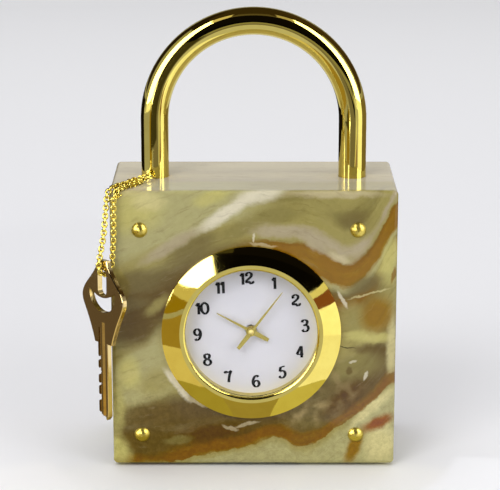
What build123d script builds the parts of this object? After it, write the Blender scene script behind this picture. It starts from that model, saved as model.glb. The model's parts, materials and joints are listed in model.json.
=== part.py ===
from build123d import *
import math
import os

# A desk clock shaped like a padlock: a banded onyx block with a gold shackle, four corner studs, a round
# quartz insert pressed into its face, and a small key on a fine chain. Millimetres, +Z up. The dial looks
# along -Y, and the origin is the middle of the underside, where the felt rests on the table.

# Stone block and its felt
block_width = 58.0
block_depth = 28.0
block_height = 58.0
edge_round = 0.9
felt_thickness = 0.6
felt_inset = 2.0
felt_corner = 2.0

# Shackle, a bent rod with its legs glued into two sockets
rod_diameter = 5.7
leg_spacing = 40.6
leg_rise = 11.9
socket_depth = 13.0
socket_clearance = 0.05

# Corner studs
stud_spacing_x = 44.0
stud_spacing_z = 43.6
stud_shift_x = -1.0
stud_shift_z = -0.8
stud_head_radius = 1.6
stud_head_height = 0.9
stud_shank_radius = 0.8
stud_shank_length = 6.0

# Place of the round insert in the face, and the room behind it in the hole that it is pushed into
insert_x = -0.5
insert_drop = 0.5
insert_turn = 5.0
bore_end_gap = 4.3

# Running and seating clearances, radial unless a name says otherwise
running_clearance = 0.05
seat_clearance = 0.1
end_clearance = 0.1

# Bezel, crystal and dial
bezel_overlap = 0.75
bezel_rim_height = 0.8
bezel_height = 1.9
bezel_land = 0.6
bezel_bulge = 0.12
bezel_tube_length = 3.5
bezel_bore_gap = 0.5
crystal_lip = 1.2
crystal_thickness = 0.8
crystal_set_back = 0.8
crystal_edge = 0.15
dial_ring_width = 1.1
dial_thickness = 0.4
dial_hole_radius = 1.2

# Movement case, plates and back
case_step = 1.0
case_neck_wall = 0.7
motion_room = 0.55
plate_thickness = 1.0
plate_ledge = 0.9
bridge_gap = 0.4
bridge_thickness = 0.8
cavity_room = 0.2
back_thickness = 1.0
grip_wall = 1.15
grip_length = 5.0
grip_set_back = 0.4
grip_fins = 24
grip_fin_width = 0.8
grip_fin_height = 0.65

# Bridge pillars and screws, in the dial's own right and up directions
pillar_places = [(7.0, -8.0), (10.5, -0.5), (-10.8, 1.0)]
pillar_radius = 1.0
pillar_margin = 0.4
bridge_screw_radius = 0.4
bridge_screw_length = 2.0
bridge_screw_head_radius = 0.8
bridge_screw_head_height = 0.4
screw_slot_width = 0.2
screw_slot_depth = 0.15

# Hands: the time shown is about seven minutes past ten
hour_angle = 303.5
minute_angle = 42.0
hour_hand_length = 8.0
hour_hand_tail = 4.0
minute_hand_length = 10.5
minute_hand_tail = 4.5
hand_thickness = 0.2
hand_gap = 0.35
hand_lift = 0.6
hand_tail_half = 0.36
hand_root_half = 0.5
hand_blade_half = 0.28
hand_tip_half = 0.08
hour_hub_radius = 1.1
minute_hub_radius = 0.85
cap_radius = 0.55
cap_height = 0.3
cap_gap = 0.25

# Arbors, tubes and gears
arbor_radius = 0.3
cannon_radius = 0.5
hour_pipe_wall = 0.25
setting_arbor_radius = 0.5
intermediate_arbor_radius = 0.3
rotor_arbor_radius = 0.2
pivot_reach = 0.6
motion_module = 0.25
cannon_teeth = 10
minute_wheel_teeth = 30
minute_pinion_teeth = 8
hour_wheel_teeth = 32
centre_module = 0.13
centre_teeth = 60
intermediate_pinion_teeth = 8
rotor_module = 0.10
intermediate_teeth = 72
rotor_teeth = 6
intermediate_bearing = 200.0
rotor_bearing = 250.0
wheel_thickness = 0.4
minute_wheel_gap = 0.15
hour_wheel_gap = 0.3
centre_wheel_gap = 0.3
intermediate_wheel_gap = 0.55
wheel_swing_gap = 0.3
pinion_overlap = 0.1
wheel_tooth_share = 0.46
pinion_tooth_share = 0.40
wheel_addendum = 0.95
pinion_addendum = 0.75
dedendum = 1.3

# Stepping motor
magnet_radius = 1.1
magnet_gap = 0.25
stator_thickness = 0.5
stator_lift = 0.3
stator_wall = 0.5
lug_half_width = 0.7
core_width = 1.0
core_thickness = 0.5
bobbin_length = 8.0
bobbin_cheek = 0.4
bobbin_half = 0.75
winding_radius = 0.95
bobbin_end_gap = 0.3
coil_side_gap = 0.4
coil_end_gap = 0.25
coil_room = 0.2
coil_screw_radius = 0.3
coil_screw_head_radius = 0.5
coil_screw_head_height = 0.35
coil_screw_reach = 0.5

# Cell, contacts, circuit board and back cover
battery_radius = 5.8
battery_height = 3.1
battery_centre_gap = 1.0
battery_cover_gap = 0.3
battery_entry_gap = 0.2
battery_gap = 0.3
battery_cap_step = 0.4
battery_cap_inset = 0.8
battery_boss_inset = 0.6
contact_thickness = 0.2
contact_inset = 0.4
contact_bearing = -40.0
contact_spread = 30.0
contact_foot = 1.5
contact_height = 1.4
board_left = 2.2
board_gap = 0.7
board_thickness = 0.5
chip_place = (4.2, -4.5)
chip_radius = 1.3
chip_height = 0.7
quartz_place = (5.8, -1.4)
quartz_radius = 0.6
quartz_length = 4.5
cover_thickness = 0.6
cover_ledge = 0.4
cover_slot_length = 6.0
cover_slot_width = 1.0
cover_slot_depth = 0.35
knob_radius = 3.2
knob_height = 1.8
knob_gap = 0.2
knob_flutes = 16
knob_flute_radius = 0.35
knob_web = 0.2

# Eye pin in the left leg, and the chain, whose strands are placed from the stone's front left corner
eye_bearing = 252.0
eye_ring_radius = 1.45
eye_wire_radius = 0.2
eye_neck = 0.35
eye_shank_depth = 2.0
eye_spread = (-22.0, 40.0)
chain_wire = 0.36
chain_pitch = 1.4
chain_inside = 0.88
chain_gap = 0.1
chain_lift = 0.78
chain_bend_radius = 2.0
chain_line_step = 0.03
chain_hinge_drop = 1.4
strand_left_reach = (-1.2, 0.4)
strand_right_reach = (0.6, -1.2)

# Key: where it hangs from that corner, the way its face looks, and its outline about the slot's top centre
key_reach = (-1.1, -2.2)
key_drop = 16.8
key_bearing = 225.0
key_thickness = 1.2
key_top_half = 1.4
key_top = 3.2
key_side = [(2.8, 0.3), (4.6, -1.8), (6.2, -4.6), (4.9, -8.4), (3.5, -11.6)]
key_collar_half = 2.6
key_collar = -14.3
key_blade_left = -1.7
key_blade_right = 1.3
key_tip = -30.6
key_tip_slope = 1.6
key_tip_place = 0.7
key_slot_gap = 0.5
key_slot_bottom = -3.0
key_crescent_half = 3.8
key_crescent_horns = -2.9
key_crescent_upper = -4.6
key_crescent_lower = -7.7
key_notches = [(-17.6, 0.7), (-20.4, 1.1), (-23.2, 0.6), (-26.0, 1.0)]
key_notch_half = 0.95
key_groove_depth = 0.4
key_grooves = [(-1.05, 0.5, -11.0), (0.15, 0.9, -9.8)]
key_edge_bevel = 0.15
loop_gap = 0.55
loop_clearance = 0.7
loop_straight = 0.08

# Places on the stone that follow from the sizes above
front = -block_depth / 2
stone_bottom = felt_thickness
stone_top = stone_bottom + block_height
stone_middle = stone_bottom + block_height / 2
rod_radius = rod_diameter / 2
leg_x = leg_spacing / 2
turn = math.radians(insert_turn)
dial_plane = Plane(
    origin=(insert_x, front, stone_middle - insert_drop),
    x_dir=(math.cos(turn), 0, math.sin(turn)),
    z_dir=(0, -1, 0),
)

# Chain and key
chain_width = chain_inside + 2 * chain_wire
corner_x = -block_width / 2
strand_left = (corner_x + strand_left_reach[0], front + strand_left_reach[1])
strand_right = (corner_x + strand_right_reach[0], front + strand_right_reach[1])
key_place = (corner_x + key_reach[0], front + key_reach[1])
key_slot_half = chain_width / 2 + key_slot_gap
loop_radius = key_thickness / 2 + chain_width / 2 + loop_gap


def polar(origin, distance, bearing):
    """The point at a distance and a bearing in degrees from an origin."""
    angle = math.radians(bearing)
    return (origin[0] + distance * math.cos(angle), origin[1] + distance * math.sin(angle))


# Places of the arbors, the motor and the cell, in the dial's own right and up directions
middle = (0.0, 0.0)
setting_distance = motion_module * (cannon_teeth + minute_wheel_teeth) / 2
setting_place = (0.0, -setting_distance)
centre_distance = centre_module * (centre_teeth + intermediate_pinion_teeth) / 2
rotor_distance = rotor_module * (intermediate_teeth + rotor_teeth) / 2
intermediate_place = polar(middle, centre_distance, intermediate_bearing)
rotor_place = polar(intermediate_place, rotor_distance, rotor_bearing)
motor_bearing = math.degrees(math.atan2(rotor_place[1], rotor_place[0]))
stator_half_width = magnet_radius + magnet_gap + stator_wall
stator_half_length = bobbin_length / 2 + bobbin_end_gap + lug_half_width
core_length = 2 * (stator_half_length + lug_half_width)
coil_offset = stator_half_width + winding_radius + coil_side_gap
coil_place = polar(rotor_place, coil_offset, motor_bearing)
lug_places = [polar(coil_place, stator_half_length, motor_bearing + side * 90) for side in (-1, 1)]
battery_rise = battery_radius + battery_centre_gap
battery_place = (0.0, battery_rise)
battery_boss_radius = battery_radius - battery_boss_inset
cover_radius = battery_radius + battery_entry_gap + cover_ledge
board_right = pillar_places[1][0] - bridge_screw_head_radius - board_gap
board_bottom = pillar_places[0][1] + bridge_screw_head_radius + board_gap
board_top = battery_rise - battery_radius - board_gap

# Radii of the insert, from what the movement holds outwards to the bore in the stone
battery_reach = battery_rise + battery_radius + battery_gap
coil_reach = math.hypot(math.dist(middle, coil_place) + core_width / 2, core_length / 2) + coil_end_gap
pillar_reach = max(math.dist(middle, place) for place in pillar_places) + pillar_radius + pillar_margin
cavity_radius = max(battery_reach, coil_reach, pillar_reach + bridge_gap)
bridge_radius = cavity_radius - bridge_gap
plate_radius = cavity_radius + plate_ledge
plate_pocket_radius = plate_radius + seat_clearance
crystal_radius = plate_pocket_radius + case_neck_wall
bezel_opening = crystal_radius - crystal_lip
bezel_seat_radius = crystal_radius + seat_clearance
case_radius = crystal_radius + case_step
grip_inner = case_radius + running_clearance
grip_outer = grip_inner + grip_wall
fin_reach = grip_outer + grip_fin_height
bore_radius = fin_reach + running_clearance
bezel_radius = bore_radius + bezel_overlap

# Heights along the insert's axis, from the stone's face: positive towards the viewer
dial_ring_height = hand_lift + 2 * hand_thickness + hand_gap + cap_height + cap_gap
motion_space = minute_wheel_gap + 2 * wheel_thickness + hour_wheel_gap + motion_room
train_space = stator_lift + stator_thickness + core_thickness / 2 + winding_radius + coil_room
cavity_depth = train_space + bridge_thickness + board_thickness + 2 * quartz_radius + cavity_room
crystal_top = bezel_height - crystal_set_back
crystal_bottom = crystal_top - crystal_thickness
dial_top = crystal_bottom - dial_ring_height
dial_bottom = dial_top - dial_thickness
plate_top = dial_bottom - motion_space
plate_bottom = plate_top - plate_thickness
bridge_top = plate_bottom - train_space
bridge_bottom = bridge_top - bridge_thickness
board_bottom_level = bridge_bottom - board_thickness
cavity_floor = plate_bottom - cavity_depth
case_back = cavity_floor - back_thickness
case_shoulder = -bezel_tube_length - end_clearance
knob_high = case_back - knob_gap
knob_low = knob_high - knob_height
bore_depth = bore_end_gap - knob_low
hour_hand_bottom = dial_top + hand_lift
hour_hand_top = hour_hand_bottom + hand_thickness
minute_hand_bottom = hour_hand_top + hand_gap
minute_hand_top = minute_hand_bottom + hand_thickness
hour_pipe_bore = cannon_radius + running_clearance
hour_pipe_radius = hour_pipe_bore + hour_pipe_wall

# Levels of the gears, the motor and the cell, each with a little room to the piece beside it
minute_wheel_low = plate_top + minute_wheel_gap
minute_wheel_high = minute_wheel_low + wheel_thickness
hour_wheel_low = minute_wheel_high + hour_wheel_gap
hour_wheel_high = hour_wheel_low + wheel_thickness
centre_wheel_high = plate_bottom - centre_wheel_gap
centre_wheel_low = centre_wheel_high - wheel_thickness
intermediate_wheel_low = bridge_top + intermediate_wheel_gap
intermediate_wheel_high = intermediate_wheel_low + wheel_thickness
stator_high = plate_bottom - stator_lift
stator_low = stator_high - stator_thickness
magnet_high = stator_high + pinion_overlap
magnet_low = stator_low - pinion_overlap
battery_low = case_back + cover_thickness + battery_cover_gap
battery_high = battery_low + battery_height
boss_low = battery_high + contact_thickness


def disc(radius, low, high, place=(0.0, 0.0)):
    """A round solid between two heights."""
    return extrude(Pos(place[0], place[1], low) * Circle(radius), amount=high - low)


def tube(outer, inner, low, high, place=(0.0, 0.0)):
    """A round solid with a round hole through it."""
    ring = Circle(outer) - Circle(inner)
    return extrude(Pos(place[0], place[1], low) * ring, amount=high - low)


def block(width, length, low, high, place=(0.0, 0.0), bearing=0.0):
    """A plain bar between two heights, its width along the bearing."""
    face = Pos(place[0], place[1], low) * Rot(0, 0, bearing) * Rectangle(width, length)
    return extrude(face, amount=high - low)


def turned(points):
    """A solid of revolution about the local Z axis, from a closed outline of (radius, height) points."""
    outline = Polyline(*[(radius, 0, height) for radius, height in points], close=True)
    return revolve(make_face(outline), Axis.Z)


def dome_arc(radius, height):
    """Half the outline of a spherical cap that stands on the local XY plane."""
    sphere = (radius ** 2 + height ** 2) / (2 * height)
    half_angle = math.asin(radius / sphere) / 2
    halfway = (sphere * math.sin(half_angle), 0, height - sphere * (1 - math.cos(half_angle)))
    return ThreePointArc((radius, 0, 0), halfway, (0, 0, height))


def dome(radius, height):
    """A spherical cap with a flat round foot on the local XY plane."""
    arc = dome_arc(radius, height)
    foot = Polyline((0, 0, height), (0, 0, 0), (radius, 0, 0))
    return revolve(make_face(Wire([*arc.edges(), *foot.edges()])), Axis.Z)


def gear(teeth, module, low, high, first_tooth, place=(0.0, 0.0), pinion=False):
    """A spur gear with straight-sided teeth, one of them centred on the bearing first_tooth."""
    pitch_radius = module * teeth / 2
    root = pitch_radius - dedendum * module
    tip = pitch_radius + (pinion_addendum if pinion else wheel_addendum) * module
    half = (pinion_tooth_share if pinion else wheel_tooth_share) * 180 / teeth
    flanks = [(root, -half), (pitch_radius, -half), (tip, -half * 0.4)]
    flanks = flanks + [(radius, -angle) for radius, angle in reversed(flanks)]
    points = []
    for tooth in range(teeth):
        bearing = first_tooth + tooth * 360 / teeth
        points += [polar(middle, radius, bearing + angle) for radius, angle in flanks]
    face = make_face(Polyline(*points, close=True))
    return extrude(Pos(place[0], place[1], low) * face, amount=high - low)


def make_onyx_block():
    """The stone: softened edges, two leg sockets, four stud holes and the blind bore for the insert."""
    stone = Pos(0, 0, stone_bottom + block_height / 2) * Box(block_width, block_depth, block_height)
    stone = fillet(stone.edges(), edge_round)
    for side in (-1, 1):
        stone -= disc(rod_radius + socket_clearance, stone_top - socket_depth, stone_top, (side * leg_x, 0))
    for place in stud_places().values():
        stone -= stud_plane(place) * disc(stud_shank_radius, -stud_shank_length, 0)
    stone -= dial_plane * disc(bore_radius, -bore_depth, 0)
    return stone


def make_base_felt():
    """The thin pad glued under the stone."""
    pad = RectangleRounded(block_width - 2 * felt_inset, block_depth - 2 * felt_inset, felt_corner)
    return extrude(pad, amount=felt_thickness)


def shackle_line():
    """Centre line of the bent rod, from one socket floor to the other."""
    foot = stone_top - socket_depth
    spring = stone_top + leg_rise
    left = Line((-leg_x, 0, foot), (-leg_x, 0, spring))
    arch = ThreePointArc((-leg_x, 0, spring), (0, 0, spring + leg_x), (leg_x, 0, spring))
    right = Line((leg_x, 0, spring), (leg_x, 0, foot))
    return Wire([left, arch, right])


def make_shackle():
    """The bent rod, drilled for the shank of the eye pin."""
    start = Plane(origin=(-leg_x, 0, stone_top - socket_depth), z_dir=(0, 0, 1))
    rod = sweep(start * Circle(rod_radius), path=shackle_line())
    return rod - eye_plane() * eye_shank()


def stud_places():
    """Stud centres on the face, by the corner that each one marks."""
    places = {}
    for row, vertical in (("top", 1), ("bottom", -1)):
        for column, across in (("left", -1), ("right", 1)):
            x = stud_shift_x + across * stud_spacing_x / 2
            z = stone_middle + stud_shift_z + vertical * stud_spacing_z / 2
            places[row + "_" + column] = (x, z)
    return places


def stud_plane(place):
    """The local frame of a stud: its axis points out of the face."""
    return Plane(origin=(place[0], front, place[1]), x_dir=(1, 0, 0), z_dir=(0, -1, 0))


def make_stud(place):
    """A low domed head on a plain shank."""
    arc = dome_arc(stud_head_radius, stud_head_height)
    shank = Polyline(
        (0, 0, stud_head_height),
        (0, 0, -stud_shank_length),
        (stud_shank_radius, 0, -stud_shank_length),
        (stud_shank_radius, 0, 0),
        (stud_head_radius, 0, 0),
    )
    return stud_plane(place) * revolve(make_face(Wire([*arc.edges(), *shank.edges()])), Axis.Z)


def make_bezel():
    """The gold front ring: a flange on the stone, a bulging bevel, a rounded nose and a tube behind."""
    flange = bezel_radius
    tube_radius = bore_radius - bezel_bore_gap
    nose_outer = bezel_opening + 2 * bezel_land
    nose_inner = bezel_opening + bezel_land
    bevel_middle = ((flange + nose_outer) / 2, 0, (bezel_rim_height + bezel_height) / 2 + bezel_bulge)
    nose_middle = (
        bezel_opening + bezel_land * (1 - math.sqrt(0.5)),
        0,
        bezel_height - bezel_land * (1 - math.sqrt(0.5)),
    )
    bevel = ThreePointArc((flange, 0, bezel_rim_height), bevel_middle, (nose_outer, 0, bezel_height))
    land = Line((nose_outer, 0, bezel_height), (nose_inner, 0, bezel_height))
    nose = ThreePointArc(
        (nose_inner, 0, bezel_height), nose_middle, (bezel_opening, 0, bezel_height - bezel_land)
    )
    rest = Polyline(
        (bezel_opening, 0, bezel_height - bezel_land),
        (bezel_opening, 0, crystal_top),
        (bezel_seat_radius, 0, crystal_top),
        (bezel_seat_radius, 0, -bezel_tube_length),
        (tube_radius, 0, -bezel_tube_length),
        (tube_radius, 0, 0),
        (flange, 0, 0),
        (flange, 0, bezel_rim_height),
    )
    outline = Wire([*bevel.edges(), *land.edges(), *nose.edges(), *rest.edges()])
    return revolve(make_face(outline), Axis.Z)


def make_crystal():
    """The flat glass, with a small bevel round its front edge."""
    return turned([
        (0, crystal_bottom),
        (crystal_radius, crystal_bottom),
        (crystal_radius, crystal_top - crystal_edge),
        (crystal_radius - crystal_edge, crystal_top),
        (0, crystal_top),
    ])


def make_dial_ring():
    """The thin gold ring between the crystal and the dial."""
    return tube(crystal_radius, crystal_radius - dial_ring_width, dial_top, crystal_bottom)


def make_dial():
    """The white dial plate, with a hole for the hour pipe."""
    return tube(crystal_radius, dial_hole_radius, dial_bottom, dial_top)


def make_movement_case():
    """The moulded cup behind the dial, open at the front, with the cell and setting openings at its back."""
    case = disc(crystal_radius, case_shoulder, dial_bottom) + disc(case_radius, case_back, case_shoulder)
    case -= disc(plate_pocket_radius, plate_bottom, dial_bottom)
    case -= disc(cavity_radius, cavity_floor, plate_bottom)
    case -= disc(cover_radius + seat_clearance, case_back, case_back + cover_thickness, battery_place)
    case -= disc(cover_radius - cover_ledge, case_back, cavity_floor, battery_place)
    case -= disc(setting_arbor_radius + running_clearance, case_back, cavity_floor, setting_place)
    return case


def make_grip_ring():
    """The ribbed ring round the case that grips the wall of the bore."""
    high = case_shoulder - grip_set_back
    low = high - grip_length
    fins = Circle(fin_reach)
    for fin in range(grip_fins):
        bearing = (fin + 0.5) * 360 / grip_fins
        place = polar(middle, fin_reach, bearing)
        gap = 2 * math.pi * fin_reach / grip_fins - grip_fin_width
        cut = Rot(0, 0, bearing) * Rectangle(2 * grip_fin_height, gap)
        fins -= Pos(place[0], place[1]) * cut
    return extrude(Pos(0, 0, low) * (fins - Circle(grip_inner)), amount=high - low)


def make_main_plate():
    """The front plate of the movement, with bridge pillars, a cell rest, stator seats and bearing holes."""
    plate = disc(plate_radius, plate_bottom, plate_top)
    for place in pillar_places:
        plate += disc(pillar_radius, bridge_top, plate_bottom, place)
    rest = disc(battery_boss_radius, boss_low, plate_bottom, battery_place)
    plate += rest - disc(wheel_swing(centre_teeth, centre_module), boss_low, plate_bottom)
    for place in lug_places:
        plate += disc(lug_half_width, stator_high, plate_bottom, place)
        plate -= disc(coil_screw_radius, stator_high, plate_bottom + coil_screw_reach, place)
    for place in pillar_places:
        plate -= disc(bridge_screw_radius, bridge_top, bridge_bottom + bridge_screw_length, place)
    plate -= disc(cannon_radius + running_clearance, plate_bottom, plate_top)
    plate -= disc(setting_arbor_radius + running_clearance, plate_bottom, plate_top, setting_place)
    reach = plate_bottom + pivot_reach
    pivot_top = reach + end_clearance
    plate -= disc(
        intermediate_arbor_radius + running_clearance, plate_bottom, pivot_top, intermediate_place
    )
    plate -= disc(rotor_arbor_radius + running_clearance, plate_bottom, pivot_top, rotor_place)
    return plate


def wheel_swing(teeth, module):
    """Radius that clears the teeth of a turning wheel."""
    return module * (teeth / 2 + wheel_addendum) + wheel_swing_gap


def make_train_bridge():
    """The rear plate of the movement, cut away round the cell."""
    bridge = disc(bridge_radius, bridge_bottom, bridge_top)
    bridge -= disc(battery_radius + battery_gap, bridge_bottom, bridge_top, battery_place)
    for place in pillar_places:
        bridge -= disc(bridge_screw_radius, bridge_bottom, bridge_top, place)
    holes = [
        (middle, arbor_radius),
        (setting_place, setting_arbor_radius),
        (intermediate_place, intermediate_arbor_radius),
        (rotor_place, rotor_arbor_radius),
    ]
    for place, radius in holes:
        bridge -= disc(radius + running_clearance, bridge_bottom, bridge_top, place)
    return bridge


def screw(shank, reach, seat, head, head_height, place):
    """A slotted cheese-head screw whose head sits behind the seat and whose shank points forward."""
    body = disc(shank, seat, seat + reach, place) + disc(head, seat - head_height, seat, place)
    foot = seat - head_height
    return body - block(2 * head, screw_slot_width, foot, foot + screw_slot_depth, place)


def make_bridge_screws():
    """The three screws that hold the bridge on its pillars."""
    return Compound(children=[
        screw(
            bridge_screw_radius, bridge_screw_length, bridge_bottom,
            bridge_screw_head_radius, bridge_screw_head_height, place,
        )
        for place in pillar_places
    ])


def make_stator():
    """The soft iron plate round the rotor, with a lug under each end of the coil's core."""
    bearing = motor_bearing + 90
    size = (2 * stator_half_length, 2 * stator_half_width)
    plate = block(*size, stator_low, stator_high, rotor_place, bearing)
    for place in lug_places:
        across = polar(place, coil_offset / 2, motor_bearing + 180)
        plate += block(2 * lug_half_width, coil_offset, stator_low, stator_high, across, bearing)
        plate += disc(lug_half_width, stator_low, stator_high, place)
    for place in lug_places:
        plate -= disc(coil_screw_radius, stator_low, stator_high, place)
    return plate - disc(magnet_radius + magnet_gap, stator_low, stator_high, rotor_place)


def make_coil_core():
    """The iron strip through the coil, screwed to the stator's lugs."""
    low = stator_low - core_thickness
    core = block(core_length, core_width, low, stator_low, coil_place, motor_bearing + 90)
    for place in lug_places:
        core -= disc(coil_screw_radius, low, stator_low, place)
    return core


def coil_axis_plane():
    """The local frame of the coil: its axis along the core, through the core's middle."""
    angle = math.radians(motor_bearing + 90)
    return Plane(
        origin=(coil_place[0], coil_place[1], stator_low - core_thickness / 2),
        x_dir=(0, 0, 1),
        z_dir=(math.cos(angle), math.sin(angle), 0),
    )


def make_coil_bobbin():
    """The plastic spool on the core, with a cheek at each end."""
    spool = disc(bobbin_half, -bobbin_length / 2, bobbin_length / 2)
    for low in (-bobbin_length / 2, bobbin_length / 2 - bobbin_cheek):
        spool += disc(winding_radius, low, low + bobbin_cheek)
    spool -= block(core_thickness, core_width, -bobbin_length / 2, bobbin_length / 2)
    return coil_axis_plane() * spool


def make_coil_winding():
    """The wound copper wire, as the closed barrel that it fills between the cheeks."""
    half = bobbin_length / 2 - bobbin_cheek
    return coil_axis_plane() * tube(winding_radius, bobbin_half, -half, half)


def make_coil_screws():
    """The two screws through the core and the stator's lugs."""
    seat = stator_low - core_thickness
    reach = plate_bottom + coil_screw_reach - seat
    return Compound(children=[
        screw(coil_screw_radius, reach, seat, coil_screw_head_radius, coil_screw_head_height, place)
        for place in lug_places
    ])


def make_circuit_board():
    """The small board behind the bridge."""
    centre = ((board_left + board_right) / 2, (board_bottom + board_top) / 2)
    size = (board_right - board_left, board_top - board_bottom)
    return block(size[0], size[1], board_bottom_level, bridge_bottom, centre)


def make_ic_chip():
    """The round blob of resin over the clock chip."""
    seat = Pos(chip_place[0], chip_place[1], board_bottom_level)
    return seat * Rot(180, 0, 0) * dome(chip_radius, chip_height)


def make_quartz_can():
    """The metal can of the quartz crystal, lying on the board."""
    level = board_bottom_level - quartz_radius
    can = Rot(0, 90, 0) * Cylinder(quartz_radius, quartz_length)
    return Pos(quartz_place[0], quartz_place[1], level) * can


def make_battery():
    """The button cell: a can with a smaller cap on the side that meets the plate."""
    shoulder = battery_high - battery_cap_step
    cell = disc(battery_radius, battery_low, shoulder, battery_place)
    return cell + disc(battery_radius - battery_cap_inset, shoulder, battery_high, battery_place)


def make_contact_negative():
    """The sprung plate between the cell's cap and its rest."""
    ring = disc(battery_boss_radius - contact_inset, battery_high, boss_low, battery_place)
    return ring - disc(wheel_swing(centre_teeth, centre_module), battery_high, boss_low)


def make_contact_positive():
    """The bent strip on the bridge that touches the cell's side."""
    inner = battery_radius + running_clearance
    tab = inner + contact_thickness
    foot = bridge_bottom - contact_thickness
    profile = Polyline(
        (inner, 0, bridge_bottom),
        (tab + contact_foot, 0, bridge_bottom),
        (tab + contact_foot, 0, foot),
        (tab, 0, foot),
        (tab, 0, bridge_bottom - contact_height),
        (inner, 0, bridge_bottom - contact_height),
        close=True,
    )
    strip = revolve(make_face(profile), Axis.Z, revolution_arc=contact_spread)
    start = contact_bearing - contact_spread / 2
    return Pos(battery_place[0], battery_place[1], 0) * Rot(0, 0, start) * strip


def make_battery_cover():
    """The round cover at the back, with a coin slot."""
    cover = disc(cover_radius, case_back, case_back + cover_thickness, battery_place)
    slot = block(cover_slot_length, cover_slot_width, case_back, case_back + cover_slot_depth, battery_place)
    return cover - slot


def hand_face(length, tail, hub, bore, angle):
    """The flat outline of a hand: a broad tail, a hub and a fine blade, turned to its angle on the dial."""
    right = [
        (hand_tail_half, -tail),
        (hand_root_half, -hub),
        (hand_blade_half, hub),
        (hand_tip_half, length),
    ]
    left = [(-across, along) for across, along in reversed(right)]
    blade = Polyline(*right, *left, close=True)
    return Rot(0, 0, -angle) * (make_face(blade) + Circle(hub) - Circle(bore))


def make_hour_hand():
    """The short hand, pressed on the hour pipe."""
    face = hand_face(hour_hand_length, hour_hand_tail, hour_hub_radius, hour_pipe_radius, hour_angle)
    return extrude(Pos(0, 0, hour_hand_bottom) * face, amount=hand_thickness)


def make_minute_hand():
    """The long hand, pressed on the centre arbor above the cannon pinion."""
    face = hand_face(minute_hand_length, minute_hand_tail, minute_hub_radius, arbor_radius, minute_angle)
    return extrude(Pos(0, 0, minute_hand_bottom) * face, amount=hand_thickness)


def make_hand_cap():
    """The polished cap over the hands' centre."""
    return Pos(0, 0, minute_hand_top) * dome(cap_radius, cap_height)


def make_cannon_pinion():
    """The tube that carries the minute hand and drives the minute wheel."""
    pinion = tube(cannon_radius, arbor_radius, plate_bottom - end_clearance, minute_hand_bottom)
    leaves = gear(
        cannon_teeth, motion_module, minute_wheel_low, minute_wheel_high + pinion_overlap, -90.0, pinion=True
    )
    return pinion + (leaves - disc(arbor_radius, minute_wheel_low, minute_wheel_high + pinion_overlap))


def make_centre_wheel():
    """The wheel on the centre arbor, which turns once an hour."""
    wheel = gear(centre_teeth, centre_module, centre_wheel_low, centre_wheel_high, intermediate_bearing)
    return wheel + disc(arbor_radius, bridge_bottom + end_clearance, minute_hand_top)


def make_hour_wheel():
    """The wheel and pipe that carry the hour hand, once round in twelve hours."""
    first = -90.0 + 180 / hour_wheel_teeth
    wheel = gear(hour_wheel_teeth, motion_module, hour_wheel_low, hour_wheel_high, first)
    wheel += disc(hour_pipe_radius, hour_wheel_low, hour_hand_top)
    return wheel - disc(hour_pipe_bore, hour_wheel_low, hour_hand_top)


def make_minute_wheel():
    """The wheel and pinion between the cannon pinion and the hour wheel."""
    first = 90.0 + 180 / minute_wheel_teeth
    wheel = gear(
        minute_wheel_teeth, motion_module, minute_wheel_low, minute_wheel_high, first, setting_place
    )
    wheel += gear(
        minute_pinion_teeth, motion_module, minute_wheel_high, hour_wheel_high + pinion_overlap, 90.0,
        setting_place, pinion=True,
    )
    return wheel - disc(
        setting_arbor_radius, minute_wheel_low, hour_wheel_high + pinion_overlap, setting_place
    )


def make_setting_arbor():
    """The rod from the minute wheel to the setting knob at the back."""
    low = knob_low + knob_web
    return disc(setting_arbor_radius, low, dial_bottom - end_clearance, setting_place)


def make_setting_knob():
    """The fluted knob at the back that sets the hands."""
    knob = Circle(knob_radius)
    for flute in range(knob_flutes):
        place = polar(middle, knob_radius, flute * 360 / knob_flutes)
        knob -= Pos(place[0], place[1]) * Circle(knob_flute_radius)
    body = extrude(Pos(setting_place[0], setting_place[1], knob_low) * knob, amount=knob_height)
    return body - disc(setting_arbor_radius, knob_low + knob_web, knob_high, setting_place)


def make_intermediate_wheel():
    """The wheel and pinion between the rotor and the centre wheel."""
    wheel = gear(
        intermediate_teeth, rotor_module, intermediate_wheel_low, intermediate_wheel_high,
        rotor_bearing, intermediate_place,
    )
    first = intermediate_bearing + 180 + 180 / intermediate_pinion_teeth
    wheel += gear(
        intermediate_pinion_teeth, centre_module, centre_wheel_low - pinion_overlap,
        centre_wheel_high + pinion_overlap, first, intermediate_place, pinion=True,
    )
    low = bridge_top - pivot_reach
    return wheel + disc(intermediate_arbor_radius, low, plate_bottom + pivot_reach, intermediate_place)


def make_rotor_magnet():
    """The magnet that the coil turns by half a turn at a time."""
    return tube(magnet_radius, rotor_arbor_radius, magnet_low, magnet_high, rotor_place)


def make_rotor_pinion():
    """The rotor's arbor, with the pinion that drives the intermediate wheel."""
    low = intermediate_wheel_low - pinion_overlap
    high = intermediate_wheel_high + pinion_overlap
    first = rotor_bearing + 180 + 180 / rotor_teeth
    pinion = gear(rotor_teeth, rotor_module, low, high, first, rotor_place, pinion=True)
    foot = bridge_top - pivot_reach
    return pinion + disc(rotor_arbor_radius, foot, plate_bottom + pivot_reach, rotor_place)


def eye_plane():
    """The local frame of the eye pin: X out of the leg, and the ring flat at the chain's height."""
    angle = math.radians(eye_bearing)
    return Plane(
        origin=(-leg_x, 0, stone_top + chain_lift),
        x_dir=(math.cos(angle), math.sin(angle), 0),
        z_dir=(0, 0, 1),
    )


def eye_centre():
    """Distance of the ring's centre from the leg's axis."""
    return rod_radius + eye_neck + eye_ring_radius


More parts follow.
